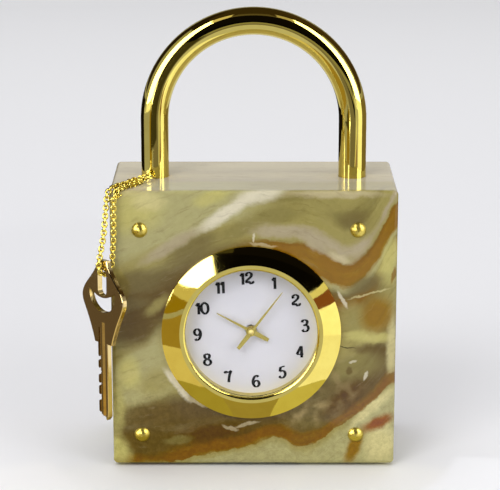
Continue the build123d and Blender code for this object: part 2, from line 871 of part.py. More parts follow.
def eye_shank():
    """The pin's plain shank, from inside the leg to the ring."""
    inner = rod_radius - eye_shank_depth
    outer = eye_centre() - eye_ring_radius
    return Pos(inner, 0, 0) * Rot(0, 90, 0) * disc(eye_wire_radius, 0, outer - inner)


def make_chain_eye():
    """The eye pin: a ring of wire on a shank, set in the leg."""
    return eye_plane() * (eye_shank() + Pos(eye_centre(), 0, 0) * Torus(eye_ring_radius, eye_wire_radius))


def key_plane():
    """The key's local frame: X along its width, Y up, Z out of the flat face that looks outward."""
    angle = math.radians(key_bearing)
    return Plane(
        origin=(key_place[0], key_place[1], stone_top - key_drop),
        x_dir=(-math.sin(angle), math.cos(angle), 0),
        z_dir=(math.cos(angle), math.sin(angle), 0),
    )


def chain_line():
    """Points close together along the chain: from the eye over the corner, through the key and back."""
    level = stone_top + chain_lift
    ring = polar((-leg_x, 0.0), eye_centre(), eye_bearing)
    start_radius = eye_ring_radius - eye_wire_radius - chain_gap
    run = (strand_left[0] + strand_right[0] - 2 * ring[0], strand_left[1] + strand_right[1] - 2 * ring[1])
    run_bearing = math.degrees(math.atan2(run[1], run[0]))
    starts = [polar(ring, start_radius, run_bearing + spread) for spread in eye_spread]
    out = key_plane().z_dir
    hang = key_plane().origin
    # The loop hangs so low in the slot that its links clear the rail above it, and its strands stand a
    # little wider apart than its two quarter bends need, so that a short straight is left between them
    loop_half = loop_radius + loop_straight / 2
    loop_bottom = hang.Z + key_slot_half - chain_width / 2 - loop_clearance
    low = [Vector(hang.X, hang.Y, loop_bottom) + out * side * loop_half for side in (1, -1)]
    points = [
        (*starts[0], level),
        (*strand_left, level),
        tuple(low[0]),
        tuple(low[1]),
        (*strand_right, level),
        (*starts[1], level),
    ]
    radii = [chain_bend_radius, loop_radius, loop_radius, chain_bend_radius]
    path = FilletPolyline(*points, radius=radii)
    steps = int(path.length / chain_line_step)
    return [path.position_at(step / steps, position_mode=PositionMode.PARAMETER) for step in range(steps + 1)]


def chain_joints(line, pitch):
    """Points along the chain's line, each one pitch from the last in a straight line."""
    joints = [line[0]]
    for before, after in zip(line, line[1:]):
        near = (before - joints[-1]).length
        far = (after - joints[-1]).length
        if near < pitch <= far:
            joints.append(before + (after - before) * ((pitch - near) / (far - near)))
    return joints


def fitted_pitch(line):
    """The largest pitch that takes as many links along the line as the nominal pitch does."""
    wanted = len(chain_joints(line, chain_pitch))
    low = chain_pitch
    high = 2 * chain_pitch
    for _ in range(40):
        halfway = (low + high) / 2
        if len(chain_joints(line, halfway)) >= wanted:
            low = halfway
        else:
            high = halfway
    return low


def chain_link(pitch):
    """One link: a round wire bent to a stadium, lying along X in its local frame."""
    bend = (chain_width - chain_wire) / 2
    half = (pitch + chain_wire + chain_gap) / 2 - bend
    loop = Wire([
        *Line((-half, bend, 0), (half, bend, 0)).edges(),
        *ThreePointArc((half, bend, 0), (half + bend, 0, 0), (half, -bend, 0)).edges(),
        *Line((half, -bend, 0), (-half, -bend, 0)).edges(),
        *ThreePointArc((-half, -bend, 0), (-half - bend, 0, 0), (-half, bend, 0)).edges(),
    ])
    section = Plane(origin=(0, bend, 0), z_dir=(1, 0, 0)) * Circle(chain_wire / 2)
    return sweep(section, path=loop)


def make_chains():
    """The links that lie on the stone and the links that hang, as two groups, and the two points between."""
    line = chain_line()
    pitch = fitted_pitch(line)
    joints = chain_joints(line, pitch)
    across = key_plane().x_dir
    edge_level = stone_top + chain_lift - chain_hinge_drop
    upper = []
    hanging = []
    split = []
    template = chain_link(pitch)
    for index, (start, end) in enumerate(zip(joints, joints[1:])):
        along = (end - start).normalized()
        side = (across - along * across.dot(along)).normalized()
        lean = side.cross(along) * (1 if index % 2 else -1)
        place = Plane(origin=(start + end) * 0.5, x_dir=along, z_dir=(side + lean).normalized())
        group = upper if (start.Z + end.Z) / 2 > edge_level else hanging
        group.append(place * template)
    for before, here, after in zip(joints, joints[1:], joints[2:]):
        if ((before.Z + here.Z) / 2 > edge_level) != ((here.Z + after.Z) / 2 > edge_level):
            split.append(here)
    print("chain pitch", round(pitch, 4), "links", len(upper), "+", len(hanging))
    for point in split:
        print("chain hinge point", [round(value, 4) for value in point])
    return Compound(children=upper), Compound(children=hanging)


def key_outline():
    """The flat outline of the key: a shield-shaped bow, a collar, and a blade with a slanted tip."""
    right = Spline((key_top_half, key_top), *key_side, (key_collar_half, key_collar))
    left = Spline((-key_top_half, key_top), *[(-u, v) for u, v in key_side], (-key_collar_half, key_collar))
    top = Line((-key_top_half, key_top), (key_top_half, key_top))
    blade = Polyline(
        (-key_collar_half, key_collar),
        (key_blade_left, key_collar),
        (key_blade_left, key_tip + key_tip_slope),
        (key_tip_place, key_tip),
        (key_blade_right, key_tip + key_tip_slope / 2),
        (key_blade_right, key_collar),
        (key_collar_half, key_collar),
    )
    return make_face(Wire([*right.edges(), *left.edges(), *top.edges(), *blade.edges()]))


def key_openings():
    """The slot that the chain passes through and the crescent below it."""
    straight = Pos(0, key_slot_bottom / 2) * Rectangle(2 * key_slot_half, -key_slot_bottom)
    slot = straight + Circle(key_slot_half) + Pos(0, key_slot_bottom) * Circle(key_slot_half)
    horn_left = (-key_crescent_half, key_crescent_horns)
    horn_right = (key_crescent_half, key_crescent_horns)
    lower = ThreePointArc(horn_left, (0, key_crescent_lower), horn_right)
    upper = ThreePointArc(horn_right, (0, key_crescent_upper), horn_left)
    crescent = make_face(Wire([*lower.edges(), *upper.edges()]))
    return [slot, crescent]


def make_key():
    """The small key: a flat plate with a slot, a crescent opening, notches and milled grooves."""
    low = -key_thickness / 2
    key = extrude(Pos(0, 0, low) * key_outline(), amount=key_thickness)
    rims = key.faces().sort_by(Axis.Z)[-1].edges() + key.faces().sort_by(Axis.Z)[0].edges()
    key = chamfer(rims, key_edge_bevel)
    cuts = key_openings()
    for level, depth in key_notches:
        notch = Polyline(
            (key_blade_left - 1, level + key_notch_half + 1),
            (key_blade_left + depth, level),
            (key_blade_left - 1, level - key_notch_half - 1),
            close=True,
        )
        cuts.append(make_face(notch))
    for cut in cuts:
        key -= extrude(Pos(0, 0, low) * cut, amount=key_thickness)
    for across, width, top in key_grooves:
        length = top - key_tip + key_tip_slope
        groove = Pos(across, top - length / 2) * Rectangle(width, length)
        for side in (-1, 1):
            floor = side * (key_thickness / 2 - key_groove_depth)
            key -= extrude(Pos(0, 0, floor) * groove, amount=side * key_groove_depth)
    return key_plane() * key


def save(name, shape):
    """Write one piece under its node's name."""
    export_step(shape, "parts/" + name + ".step")


def main():
    """Make every piece and write it."""
    os.makedirs("parts", exist_ok=True)
    pieces = {
        "onyx_block": make_onyx_block(),
        "base_felt": make_base_felt(),
        "shackle": make_shackle(),
        "chain_eye": make_chain_eye(),
        "key": make_key(),
    }
    for corner, place in stud_places().items():
        pieces["stud_" + corner] = make_stud(place)
    pieces["chain_upper"], pieces["chain_hanging"] = make_chains()
    insert = {
        "bezel": make_bezel(),
        "crystal": make_crystal(),
        "dial_ring": make_dial_ring(),
        "dial": make_dial(),
        "movement_case": make_movement_case(),
        "grip_ring": make_grip_ring(),
        "main_plate": make_main_plate(),
        "train_bridge": make_train_bridge(),
        "bridge_screws": make_bridge_screws(),
        "stator": make_stator(),
        "coil_core": make_coil_core(),
        "coil_bobbin": make_coil_bobbin(),
        "coil_winding": make_coil_winding(),
        "coil_screws": make_coil_screws(),
        "circuit_board": make_circuit_board(),
        "ic_chip": make_ic_chip(),
        "quartz_can": make_quartz_can(),
        "battery": make_battery(),
        "contact_negative": make_contact_negative(),
        "contact_positive": make_contact_positive(),
        "battery_cover": make_battery_cover(),
        "hour_hand": make_hour_hand(),
        "minute_hand": make_minute_hand(),
        "hand_cap": make_hand_cap(),
        "cannon_pinion": make_cannon_pinion(),
        "centre_wheel": make_centre_wheel(),
        "hour_wheel": make_hour_wheel(),
        "minute_wheel": make_minute_wheel(),
        "setting_arbor": make_setting_arbor(),
        "setting_knob": make_setting_knob(),
        "intermediate_wheel": make_intermediate_wheel(),
        "rotor_magnet": make_rotor_magnet(),
        "rotor_pinion": make_rotor_pinion(),
    }
    for name, shape in insert.items():
        pieces[name] = dial_plane * shape
    for name, shape in pieces.items():
        save(name, shape)
    print(len(pieces), "pieces written")


main()
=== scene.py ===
# %% [markdown]
# # A padlock desk clock in onyx and gold
# The clock is a block of banded onyx shaped like a padlock. A gold shackle bends over it, a round quartz
# insert sits in its face, and a small key hangs at its corner on a fine chain. The shapes come from a
# finished mechanical model, so this lesson is about looks: where the camera stands, how the light falls,
# and how each finish is made from procedural nodes.

# %% Load the model
import json
import math

import bmesh
import bpy
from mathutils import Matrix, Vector


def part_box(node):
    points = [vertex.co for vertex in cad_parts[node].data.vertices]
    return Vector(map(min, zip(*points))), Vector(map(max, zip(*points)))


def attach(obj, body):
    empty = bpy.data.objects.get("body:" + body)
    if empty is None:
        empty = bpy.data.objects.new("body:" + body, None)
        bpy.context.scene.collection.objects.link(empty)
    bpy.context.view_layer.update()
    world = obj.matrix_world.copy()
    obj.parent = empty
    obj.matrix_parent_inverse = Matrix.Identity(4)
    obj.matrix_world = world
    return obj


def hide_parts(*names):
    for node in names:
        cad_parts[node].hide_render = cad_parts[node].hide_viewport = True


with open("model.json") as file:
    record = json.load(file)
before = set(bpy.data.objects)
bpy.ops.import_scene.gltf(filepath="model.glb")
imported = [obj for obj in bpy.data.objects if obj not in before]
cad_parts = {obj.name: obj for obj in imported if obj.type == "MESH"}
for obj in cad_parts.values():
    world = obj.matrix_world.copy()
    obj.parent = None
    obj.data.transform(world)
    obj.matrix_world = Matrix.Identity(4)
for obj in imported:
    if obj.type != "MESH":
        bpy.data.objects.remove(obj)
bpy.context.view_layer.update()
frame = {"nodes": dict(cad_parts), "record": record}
pieces = frame["nodes"]
mm = 0.001

# %% [markdown]
# ## The camera
# The picture was taken from a little above, straight on to the dial, with a long lens that keeps the
# sides of the block almost parallel. A camera can be aimed with a constraint, but a pitch and a distance
# from one aim point are easier to read and to change.

# %% Camera
view_pitch = math.radians(14.9)
view_distance = 423 * mm
view_width = 100.7 * mm
aim_across = -0.76 * mm
aim_height = 47.5 * mm
stone_low, stone_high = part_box("onyx_block")
front = stone_low.y
aim = Vector((aim_across, front, aim_height))

camera_data = bpy.data.cameras.new("photo_camera")
camera = bpy.data.objects.new("photo_camera", camera_data)
bpy.context.scene.collection.objects.link(camera)
camera_data.sensor_width = 36.0
camera_data.lens = camera_data.sensor_width * view_distance / view_width
camera_data.clip_start = 10 * mm
away = Vector((0, -math.cos(view_pitch), math.sin(view_pitch)))
camera.location = aim + away * view_distance
camera.rotation_euler = (math.pi / 2 - view_pitch, 0, 0)
bpy.context.scene.camera = camera
bpy.context.scene.view_settings.view_transform = "Standard"
print("camera at", [round(v, 3) for v in camera.location], "lens", round(camera_data.lens, 1))

# %% [markdown]
# ## Small helpers for shader nodes
# A node tree can be wired by hand, one link at a time, but the wiring then hides the idea. These helpers
# place a node, fill its sockets with numbers or with other nodes' outputs, and hand back the output, so
# that a material reads like a formula.


# %% Node helpers
def put(tree, kind, inputs=None, **settings):
    """Place a node, set its options, and fill or link its inputs."""
    node = tree.nodes.new(kind)
    for name, value in settings.items():
        setattr(node, name, value)
    for socket, value in (inputs or {}).items():
        if isinstance(value, bpy.types.NodeSocket):
            tree.links.new(value, node.inputs[socket])
        else:
            node.inputs[socket].default_value = value
    return node


def calc(tree, operation, *values):
    """One Math node."""
    return put(tree, "ShaderNodeMath", dict(enumerate(values)), operation=operation).outputs[0]


def times(tree, a, b):
    """A product of two values."""
    return calc(tree, "MULTIPLY", a, b)


def clamp(tree, value):
    """A value kept between 0 and 1."""
    return put(tree, "ShaderNodeClamp", {0: value}).outputs[0]


def move(tree, operation, a, b):
    """One Vector Math node of two vectors."""
    return put(tree, "ShaderNodeVectorMath", {0: a, 1: b}, operation=operation).outputs[0]


def stretch(tree, vector, factor):
    """A vector made longer by one factor."""
    return put(tree, "ShaderNodeVectorMath", {0: vector, "Scale": factor}, operation="SCALE").outputs[0]


def step(tree, value, low, high):
    """A smooth step: 0 at low, 1 at high, also where low is the larger."""
    inputs = {"Value": value, "From Min": low, "From Max": high}
    return put(tree, "ShaderNodeMapRange", inputs, interpolation_type="SMOOTHSTEP").outputs[0]


def noise(tree, where, scale, detail=3.0, roughness=0.5, colour=False):
    """Soft noise: a value, or a colour that serves as a vector."""
    inputs = {"Vector": where, "Scale": scale, "Detail": detail, "Roughness": roughness}
    return put(tree, "ShaderNodeTexNoise", inputs).outputs[1 if colour else 0]


def mix(tree, factor, a, b, how="MIX"):
    """Two colours mixed by a factor."""
    inputs = {0: factor, 6: a, 7: b}
    return put(tree, "ShaderNodeMix", inputs, data_type="RGBA", blend_type=how).outputs[2]


def paint(code):
    """Six hexadecimal digits as the linear colour that nodes use."""
    channels = [int(code[i:i + 2], 16) / 255 for i in (0, 2, 4)]
    linear = [c / 12.92 if c <= 0.04045 else ((c + 0.055) / 1.055) ** 2.4 for c in channels]
    return (*linear, 1.0)


def ramp(tree, factor, stops):
    """A colour ramp from (position, colour code) stops."""
    node = put(tree, "ShaderNodeValToRGB", {0: factor})
    elements = node.color_ramp.elements
    while len(elements) < len(stops):
        elements.new(0.5)
    for element, (position, code) in zip(elements, stops):
        element.position = position
        element.color = paint(code)
    return node.outputs[0]


def curve(tree, value, points):
    """A Float Curve through (input, output) points between 0 and 1."""
    node = put(tree, "ShaderNodeFloatCurve", {"Value": value})
    line = node.mapping.curves[0].points
    for _ in range(len(points) - len(line)):
        line.new(0.5, 0.5)
    for handle, (position, height) in zip(line, points):
        handle.location = (position, height)
    node.mapping.update()
    return node.outputs[0]


print("middle grey in linear light:", round(paint("808080")[0], 3))

# %% [markdown]
# ## Small helpers for materials and meshes
# Each finish is one Principled shader, fed with plain values and with formulas. A pattern can be laid out
# by unwrapping the mesh, but a mechanical model has no such layout, so every pattern follows the place on
# the clock, in millimetres.


# %% Material helpers
def millimetres(tree):
    """The place on the clock in millimetres."""
    place = put(tree, "ShaderNodeTexCoord").outputs["Object"]
    return stretch(tree, place, 1 / mm)


def new_material(name, **sockets):
    """A material with one Principled shader and its plain values."""
    material = bpy.data.materials.new(name)
    material.use_nodes = True
    tree = material.node_tree
    surface = tree.nodes["Principled BSDF"]
    for socket, value in sockets.items():
        surface.inputs[socket.replace("_", " ")].default_value = value
    return material, tree, surface


def feed(node, **outputs):
    """Link outputs to a node's sockets; the node knows the tree that it is in."""
    for socket, output in outputs.items():
        node.id_data.links.new(output, node.inputs[socket.replace("_", " ")])


def tint(surface, mask, dark, light):
    """Colour the shader between two codes by a mask."""
    feed(surface, Base_Color=mix(surface.id_data, mask, paint(dark), paint(light)))


def emboss(surface, height, strength, depth):
    """Tilt the shader's normal by a height, so many metres deep."""
    inputs = {"Height": height, "Strength": strength, "Distance": depth}
    feed(surface, Normal=put(surface.id_data, "ShaderNodeBump", inputs).outputs[0])


def dress(material, *names):
    """Give CAD pieces a material."""
    for name in names:
        data = pieces[name].data
        data.materials.clear()
        data.materials.append(material)
    print(material.name, "on", ", ".join(names))


def add_mesh(name, points, faces, material):
    """A new mesh object in the scene, with one material."""
    data = bpy.data.meshes.new(name)
    data.from_pydata(points, [], faces)
    data.materials.append(material)
    piece = bpy.data.objects.new(name, data)
    bpy.context.scene.collection.objects.link(piece)
    return piece


print("pieces to dress:", len(pieces))

# %% [markdown]
# ## Shared effects: handling marks, moulding grain and soft patches
# Fingers leave faint smudges on polished metal, and plating ripples a little. Moulded plastic has a fine
# grain. Stained stone has soft oval patches. Each effect serves many times, so it is a node group, with
# its scale and strength as inputs, and it gives out masks and heights only.


# %% Node groups
def new_group(name, outputs, **inputs):
    """An empty node group that takes a place and more: its tree, what comes in, and its end."""
    group = bpy.data.node_groups.new(name, "ShaderNodeTree")
    for socket, value in {"Place": (0, 0, 0), **inputs}.items():
        kind = "NodeSocketVector" if isinstance(value, tuple) else "NodeSocketFloat"
        group.interface.new_socket(socket, in_out="INPUT", socket_type=kind).default_value = value
    for socket in outputs:
        group.interface.new_socket(socket, in_out="OUTPUT", socket_type="NodeSocketFloat")
    given = group.nodes.new("NodeGroupInput").outputs
    return group, given, group.nodes.new("NodeGroupOutput")


def use(tree, group, **values):
    """Place a node group in a material with its own values."""
    return put(tree, "ShaderNodeGroup", values, node_tree=group).outputs


def make_smudge_group():
    """Faint cloudy marks and a fine ripple, for anything polished."""
    outputs = ["Roughness", "Cloud", "Ripple"]
    group, given, end = new_group("handling_marks", outputs, Scale=0.4, Low=0.1, High=0.2)
    cloud = noise(group, given["Place"], given["Scale"], detail=5.0, roughness=0.6)
    mask = step(group, cloud, low=0.35, high=0.7)
    ripple = noise(group, given["Place"], times(group, given["Scale"], 9.0), detail=2.0)
    span = calc(group, "SUBTRACT", given["High"], given["Low"])
    roughness = calc(group, "MULTIPLY_ADD", mask, span, given["Low"])
    feed(end, Roughness=roughness, Cloud=mask, Ripple=ripple)
    return group


def make_grain_group():
    """The fine pitted grain of a moulding, and slow changes of shade."""
    group, given, end = new_group("moulding_grain", ["Shade", "Height"], Scale=8.0)
    height = noise(group, given["Place"], given["Scale"], detail=4.0, roughness=0.6)
    shade = noise(group, given["Place"], times(group, given["Scale"], 0.05))
    feed(end, Shade=shade, Height=height)
    return group


def make_patch_group():
    """A soft oval in the plane of the face: 1 inside, 0 outside."""
    group, given, end = new_group(
        "soft_patch", ["Mask"], Centre=(0, 0, 0), Size=(1, 1, 1), Turn=0.0, Soft=0.4)
    offset = move(group, "SUBTRACT", given["Place"], given["Centre"])
    turn = {"Vector": offset, "Axis": (0, 1, 0), "Angle": given["Turn"]}
    turned = put(group, "ShaderNodeVectorRotate", turn).outputs[0]
    scaled = move(group, "DIVIDE", turned, given["Size"])
    reach = put(group, "ShaderNodeVectorMath", {0: scaled}, operation="LENGTH").outputs["Value"]
    feed(end, Mask=step(group, reach, 1.0, given["Soft"]))
    return group


def polish(surface, scale, low, high):
    """Give a shader handling marks, with a roughness from low to high."""
    tree = surface.id_data
    marks = use(tree, smudge_group, Place=millimetres(tree), Scale=scale, Low=low, High=high)
    feed(surface, Roughness=marks["Roughness"])
    return marks


smudge_group = make_smudge_group()
grain_group = make_grain_group()
patch_group = make_patch_group()
print("node groups:", [group.name for group in bpy.data.node_groups])

# %% [markdown]
# ## Onyx: the layers
# Banded onyx grows in thin layers, later bent and stained, so its pattern is a stack of colours along one
# warped height. Noise alone gives any veined stone, not this block. Here two Float Curves trace the two
# main veins, and the height is measured from them: 0 to 1 under the lower, 1 to 2 between, 2 to 3 over the
# upper. Two colour ramps, one for each half of the face, give the layers, from one short list of tones.

# %% Stone layers
vein_left = -36.0
vein_span = 80.0
stack_units = 3
upper_vein = [
    (-36, 37), (-27, 39), (-17.5, 42.9), (-8, 47), (0.2, 47.9), (5.3, 47.3), (9.3, 47.2),
    (13.3, 45.8), (16.4, 44), (18.4, 42.9), (21.4, 44.2), (24.4, 47.5), (26.4, 51.5), (28.4, 55.5),
    (33, 60), (44, 58),
]
lower_vein = [
    (-36, -0.5), (-28.6, 0.1), (-17.5, 1.4), (-11.5, 2.6), (-4.8, 3.7), (-1.6, 4.5), (1.7, 5.9),
    (3.9, 6.6), (6.5, 6.2), (8.7, 4.8), (11.4, 5), (14.1, 6.2), (16.8, 8.4), (19.5, 10.2), (22.2, 12.3),
    (24.9, 14.9), (28.5, 18.9), (36, 23), (44, 25),
]
stone_tones = {
    "pale_cream": "CFC7AC", "cream": "BAAD88", "straw": "C6BC84", "pale_green": "B8AF68",
    "sage": "A59E6C", "tan": "A6997A", "olive": "968B50", "dark_olive": "847944", "moss": "73663A",
    "umber": "665428", "bark": "5F4618", "amber": "896710", "rust": "7C590E", "red_rust": "88520A",
    "crack": "3C3218",
}
left_layers = [
    (0, "sage"), (0.9, "sage"), (0.985, "olive"), (1, "rust"), (1.045, "rust"), (1.075, "umber"),
    (1.16, "umber"), (1.3, "moss"), (1.36, "olive"), (1.62, "olive"), (1.7, "dark_olive"),
    (1.76, "umber"), (1.9, "umber"), (1.97, "moss"), (2.04, "olive"), (2.12, "olive"), (2.19, "sage"),
    (2.54, "sage"), (2.6, "tan"), (2.75, "cream"), (2.85, "tan"), (3, "cream"),
]
right_layers = [
    (0, "sage"), (0.8, "sage"), (0.97, "olive"), (1, "rust"), (1.05, "rust"), (1.085, "umber"),
    (1.22, "umber"), (1.32, "moss"), (1.42, "olive"), (1.55, "olive"), (1.66, "dark_olive"),
    (1.76, "rust"), (1.82, "moss"), (1.86, "sage"), (1.885, "amber"), (1.985, "amber"), (2.01, "rust"),
    (2.035, "olive"), (2.1, "tan"), (2.16, "olive"), (2.24, "olive"), (2.32, "dark_olive"),
    (2.45, "olive"), (2.54, "olive"), (2.6, "tan"), (2.75, "cream"), (2.85, "tan"), (3, "cream"),
]


def vein_height(tree, across, points):
    """Height of a vein, in millimetres, at a place across the stone."""
    share = calc(tree, "DIVIDE", calc(tree, "SUBTRACT", across, vein_left), vein_span)
    marks = [((x - vein_left) / vein_span, z / vein_span) for x, z in points]
    return times(tree, curve(tree, share, marks), vein_span)


def layer_stops(layers):
    """Layers by their height in the stack, as stops along a ramp."""
    return [(height / stack_units, stone_tones[tone]) for height, tone in layers]


def vein_mask(tree, distance, low, high):
    """1 inside a vein: where the height over its line is between two values."""
    middle = (low + high) / 2
    half = (high - low) / 2
    off = calc(tree, "ABSOLUTE", calc(tree, "SUBTRACT", distance, middle))
    return step(tree, off, half, half * 0.5)


print("stone:", len(stone_tones), "tones,", len(left_layers), "layers left,", len(right_layers), "right")

# %% [markdown]
# ## Onyx: stains and cracks
# Water has stained the layers, and cracks have healed. Left to chance, such marks would make any block, so
# each is a soft oval, given one by one: its tone, its place across and up the face, its half width and
# half height in millimetres, its turn in degrees, and its strength.
# One patch, beside the top right stud, is painted shade.

# %% Stains and cracks
slab_soft = 0.75
stain_soft = 0.3
crack_soft = 0.5
stone_slabs = [
    ("sage", -21.5, 20.3, 11, 6.6, 32, 0.9),
]
stone_stains_and_shade = [
    ("pale_green", -24.9, 54.6, 9, 6.5, 0, 0.8),
    ("straw", -20.9, 56.5, 5, 2.6, 0, 0.7),
    ("pale_green", -8.5, 57.2, 5.5, 2.2, 20, 0.7),
    ("moss", -12.5, 46.6, 9, 3.4, 30, 0.8),
    ("dark_olive", -3, 50.4, 6.5, 2.4, 28, 0.8),
    ("dark_olive", 4.5, 53.6, 8, 2.6, 8, 0.8),
    ("olive", 13.5, 55.6, 8, 2.8, 0, 0.75),
    ("cream", 16, 58, 14, 1.4, 0, 0.7),
    ("pale_cream", -5.2, 54.2, 10.5, 1.9, 33, 0.95),
    ("tan", -16.8, 47.2, 10, 1.9, 32, 0.8),
    ("pale_cream", 1.5, 58, 7, 2.6, 15, 0.85),
    # Painted shade: this moss patch beside the top right stud stands for shade around the stud.
    ("moss", 20.4, 52.6, 5.5, 3.2, 0, 0.8),
    ("olive", 23.6, 51.4, 2.6, 4, -20, 0.6),
    ("tan", 4.6, 49.9, 6.5, 1.5, -4, 0.7),
    ("tan", 12, 47.9, 6.5, 1.7, -30, 0.85),
    ("cream", 17.2, 44.9, 3.6, 1.3, -20, 0.85),
    ("tan", 21.6, 46.4, 4, 1.5, 48, 0.7),
    ("pale_green", 27.6, 45, 2.6, 6, -18, 0.9),
    ("pale_green", 26.6, 41.4, 3.2, 3, 0, 0.7),
    ("moss", 22.6, 39.4, 6, 2.6, 22, 0.85),
    ("olive", 20, 32.6, 4.2, 4.6, 0, 0.7),
    ("amber", 25, 32.8, 4.8, 6, -12, 0.9),
    ("pale_green", 20.8, 28.4, 3.6, 1.6, 5, 0.7),
    ("pale_green", 25, 27.8, 5.5, 1.6, 3, 0.8),
    ("umber", 24, 25.3, 6, 1.5, -4, 0.85),
    ("dark_olive", 20.6, 21.8, 9, 4, 10, 0.85),
    ("moss", 12.5, 12.8, 9, 6.5, 25, 0.75),
    ("bark", 18.6, 14.6, 8, 3.2, 42, 0.8),
    ("straw", 28.3, 26, 1.6, 9, 0, 0.8),
    ("straw", 24.4, 12.9, 9, 1.7, 45, 0.9),
    ("sage", 21.6, 8.6, 7, 1.1, 42, 0.7),
    ("straw", 26.2, 5, 4.6, 6, 0, 0.9),
    ("red_rust", 25.6, 9.6, 5, 1.9, 28, 1),
    ("amber", 20.9, 4.4, 1.9, 5.4, -22, 1),
    ("moss", -24, 39.6, 8, 3.6, 5, 0.9),
    ("moss", -24.5, 35, 5.5, 2, 10, 0.7),
    ("olive", -19.6, 34.8, 4.6, 1.6, 40, 0.8),
    ("umber", -23.6, 29.8, 6.5, 4.6, 28, 0.9),
    ("sage", -19.2, 27.4, 2.4, 4, -10, 0.6),
    ("olive", -19.2, 18.6, 6.5, 4.6, 20, 0.8),
    ("pale_green", -25.6, 20.6, 3.4, 5, 0, 0.8),
    ("pale_green", -28.2, 13.5, 2.4, 9, 0, 0.85),
    ("umber", -15.5, 11.4, 15, 5, 3, 0.9),
    ("bark", -9, 7.4, 11, 2.6, 6, 0.85),
    ("dark_olive", -16, 5.6, 4.5, 1.4, 10, 0.7),
    ("umber", -20.5, 3.6, 7, 2.6, 5, 0.9),
    ("pale_green", -28.2, 3.4, 3.6, 5.5, 25, 0.9),
]
stone_cracks = [
    ("straw", 23.4, 37.4, 5.6, 0.3, 14, 0.6),
    ("crack", 18.9, 25.9, 2.4, 0.16, -3, 0.8),
    ("pale_cream", -15.7, 17.9, 5.4, 1.3, -54, 0.9),
    ("cream", -11.4, 14.2, 3.2, 0.9, -22, 0.8),
    ("pale_cream", 17.9, 36.2, 0.5, 2.6, 25, 0.7),
    ("cream", 2, 47.3, 3.6, 0.5, -8, 0.7),
    ("pale_cream", 0.1, 48.9, 0.35, 1.1, 0, 0.7),
    ("cream", -1.4, 9.3, 3.4, 0.55, 14, 0.6),
    ("cream", -4.8, 8.5, 2.2, 0.6, -22, 0.55),
    ("rust", 28.3, 41.3, 0.6, 2, -15, 0.8),
    ("pale_cream", 23, 19.9, 0.5, 1.2, -30, 0.7),
    ("pale_cream", 20.2, 22.8, 1.1, 0.35, 20, 0.6),
    ("umber", 19.4, 20.9, 0.8, 1, 0, 0.7),
]


def add_patches(tree, colour, face, patches, soft):
    """Lay soft patches over a colour, one after another."""
    for tone, x, z, width, height, turn, strength in patches:
        mask = use(tree, patch_group, Place=face, Centre=(x, 0, z), Size=(width, 1, height),
                   Turn=math.radians(turn), Soft=soft)["Mask"]
        share = times(tree, mask, strength)
        colour = mix(tree, share, colour, paint(stone_tones[tone]))
    return colour


print("stone marks:", len(stone_slabs + stone_stains_and_shade + stone_cracks))

# %% [markdown]
# ## Onyx: the height in the stack
# The layers lean as they go back into the block, so the same bands turn over the top and run along the
# sides, as in sawn stone. A picture laid on the face could not do that, so each point of the stone gets a
# height in the stack. Noise shakes the point first, from coarse to fine, so that no edge is a drawn line.

# %% Stone heights
layer_below = 12.0
layer_above = 30.0
level_bed = 49.0
level_depths = (0.5, 7.0)
shakes = [(0.07, 3.0, 1.2), (0.5, 4.0, 1.0), (2.2, 2.0, 0.3)]


def shake(tree, point):
    """A place in the stone, moved by noise from coarse to fine."""
    place = point
    for scale, detail, reach in shakes:
        sway = noise(tree, point, scale, detail, colour=True)
        sway = move(tree, "SUBTRACT", sway, (0.5, 0.5, 0.5))
        place = move(tree, "ADD", place, stretch(tree, sway, reach))
    return place


def stack_height(tree, across, up, depth):
    """The height in the stack, and the heights over both veins."""
    traced = vein_height(tree, across, upper_vein)
    inside = step(tree, depth, *level_depths)
    upper = calc(tree, "MULTIPLY_ADD", inside, calc(tree, "SUBTRACT", level_bed, traced), traced)
    lower = vein_height(tree, across, lower_vein)
    over_lower = calc(tree, "SUBTRACT", up, lower)
    over_upper = calc(tree, "SUBTRACT", up, upper)
    below = clamp(tree, calc(tree, "MULTIPLY_ADD", over_lower, 1 / layer_below, 1.0))
    middle = clamp(tree, calc(tree, "DIVIDE", over_lower, calc(tree, "SUBTRACT", upper, lower)))
    above = clamp(tree, calc(tree, "DIVIDE", over_upper, layer_above))
    stack = calc(tree, "ADD", calc(tree, "ADD", below, middle), above)
    return stack, over_lower, over_upper


print("shakes of the stone:", len(shakes))

# %% [markdown]
# ## Onyx: colour over colour
# Besides its layers the stone has coarse crystals, clouds, threads, and a grain that is stronger at the
# foot. One long chain of nodes could hold them all. Here each is a small function that lays its colour
# over another by a mask, so any of them can be left out to see what it does.

# %% Stone colours
streak_reach = 0.1
crystal_centre = (13.0, 0, 15.0)
crystal_size = (13, 1, 7)
crystal_scale = 0.45
crystal_share = 0.8
streaks = [
    ("BEB38A", 0.9, 0.6, 0.52, 0.78, 0.16),
    ("5B4716", 3.1, 0.7, 0.5, 0.75, 0.3),
    ("CBBF95", 4.0, 0.6, 0.58, 0.8, 0.14),
]
grain_dark = (0.86, 0.85, 0.82, 1.0)
grain_light = (1.14, 1.14, 1.16, 1.0)
grain_share = 0.25
foot_share = 0.6
foot_heights = (22.0, 12.0)
stone_mean = (0.29, 0.23, 0.09)
stone_contrast = 1.16
stone_darkest = (0.01, 0.01, 0.005)


def layer_colour(tree, stack, along, side):
    """The colours of the layers, each edge broken up by fine streaks."""
    streak = noise(tree, along, scale=1.6, detail=6.0, roughness=0.62)
    shifted = calc(tree, "MULTIPLY_ADD", calc(tree, "SUBTRACT", streak, 0.5), streak_reach, stack)
    position = calc(tree, "DIVIDE", shifted, stack_units)
    left = ramp(tree, position, layer_stops(left_layers))
    right = ramp(tree, position, layer_stops(right_layers))
    return mix(tree, side, left, right)


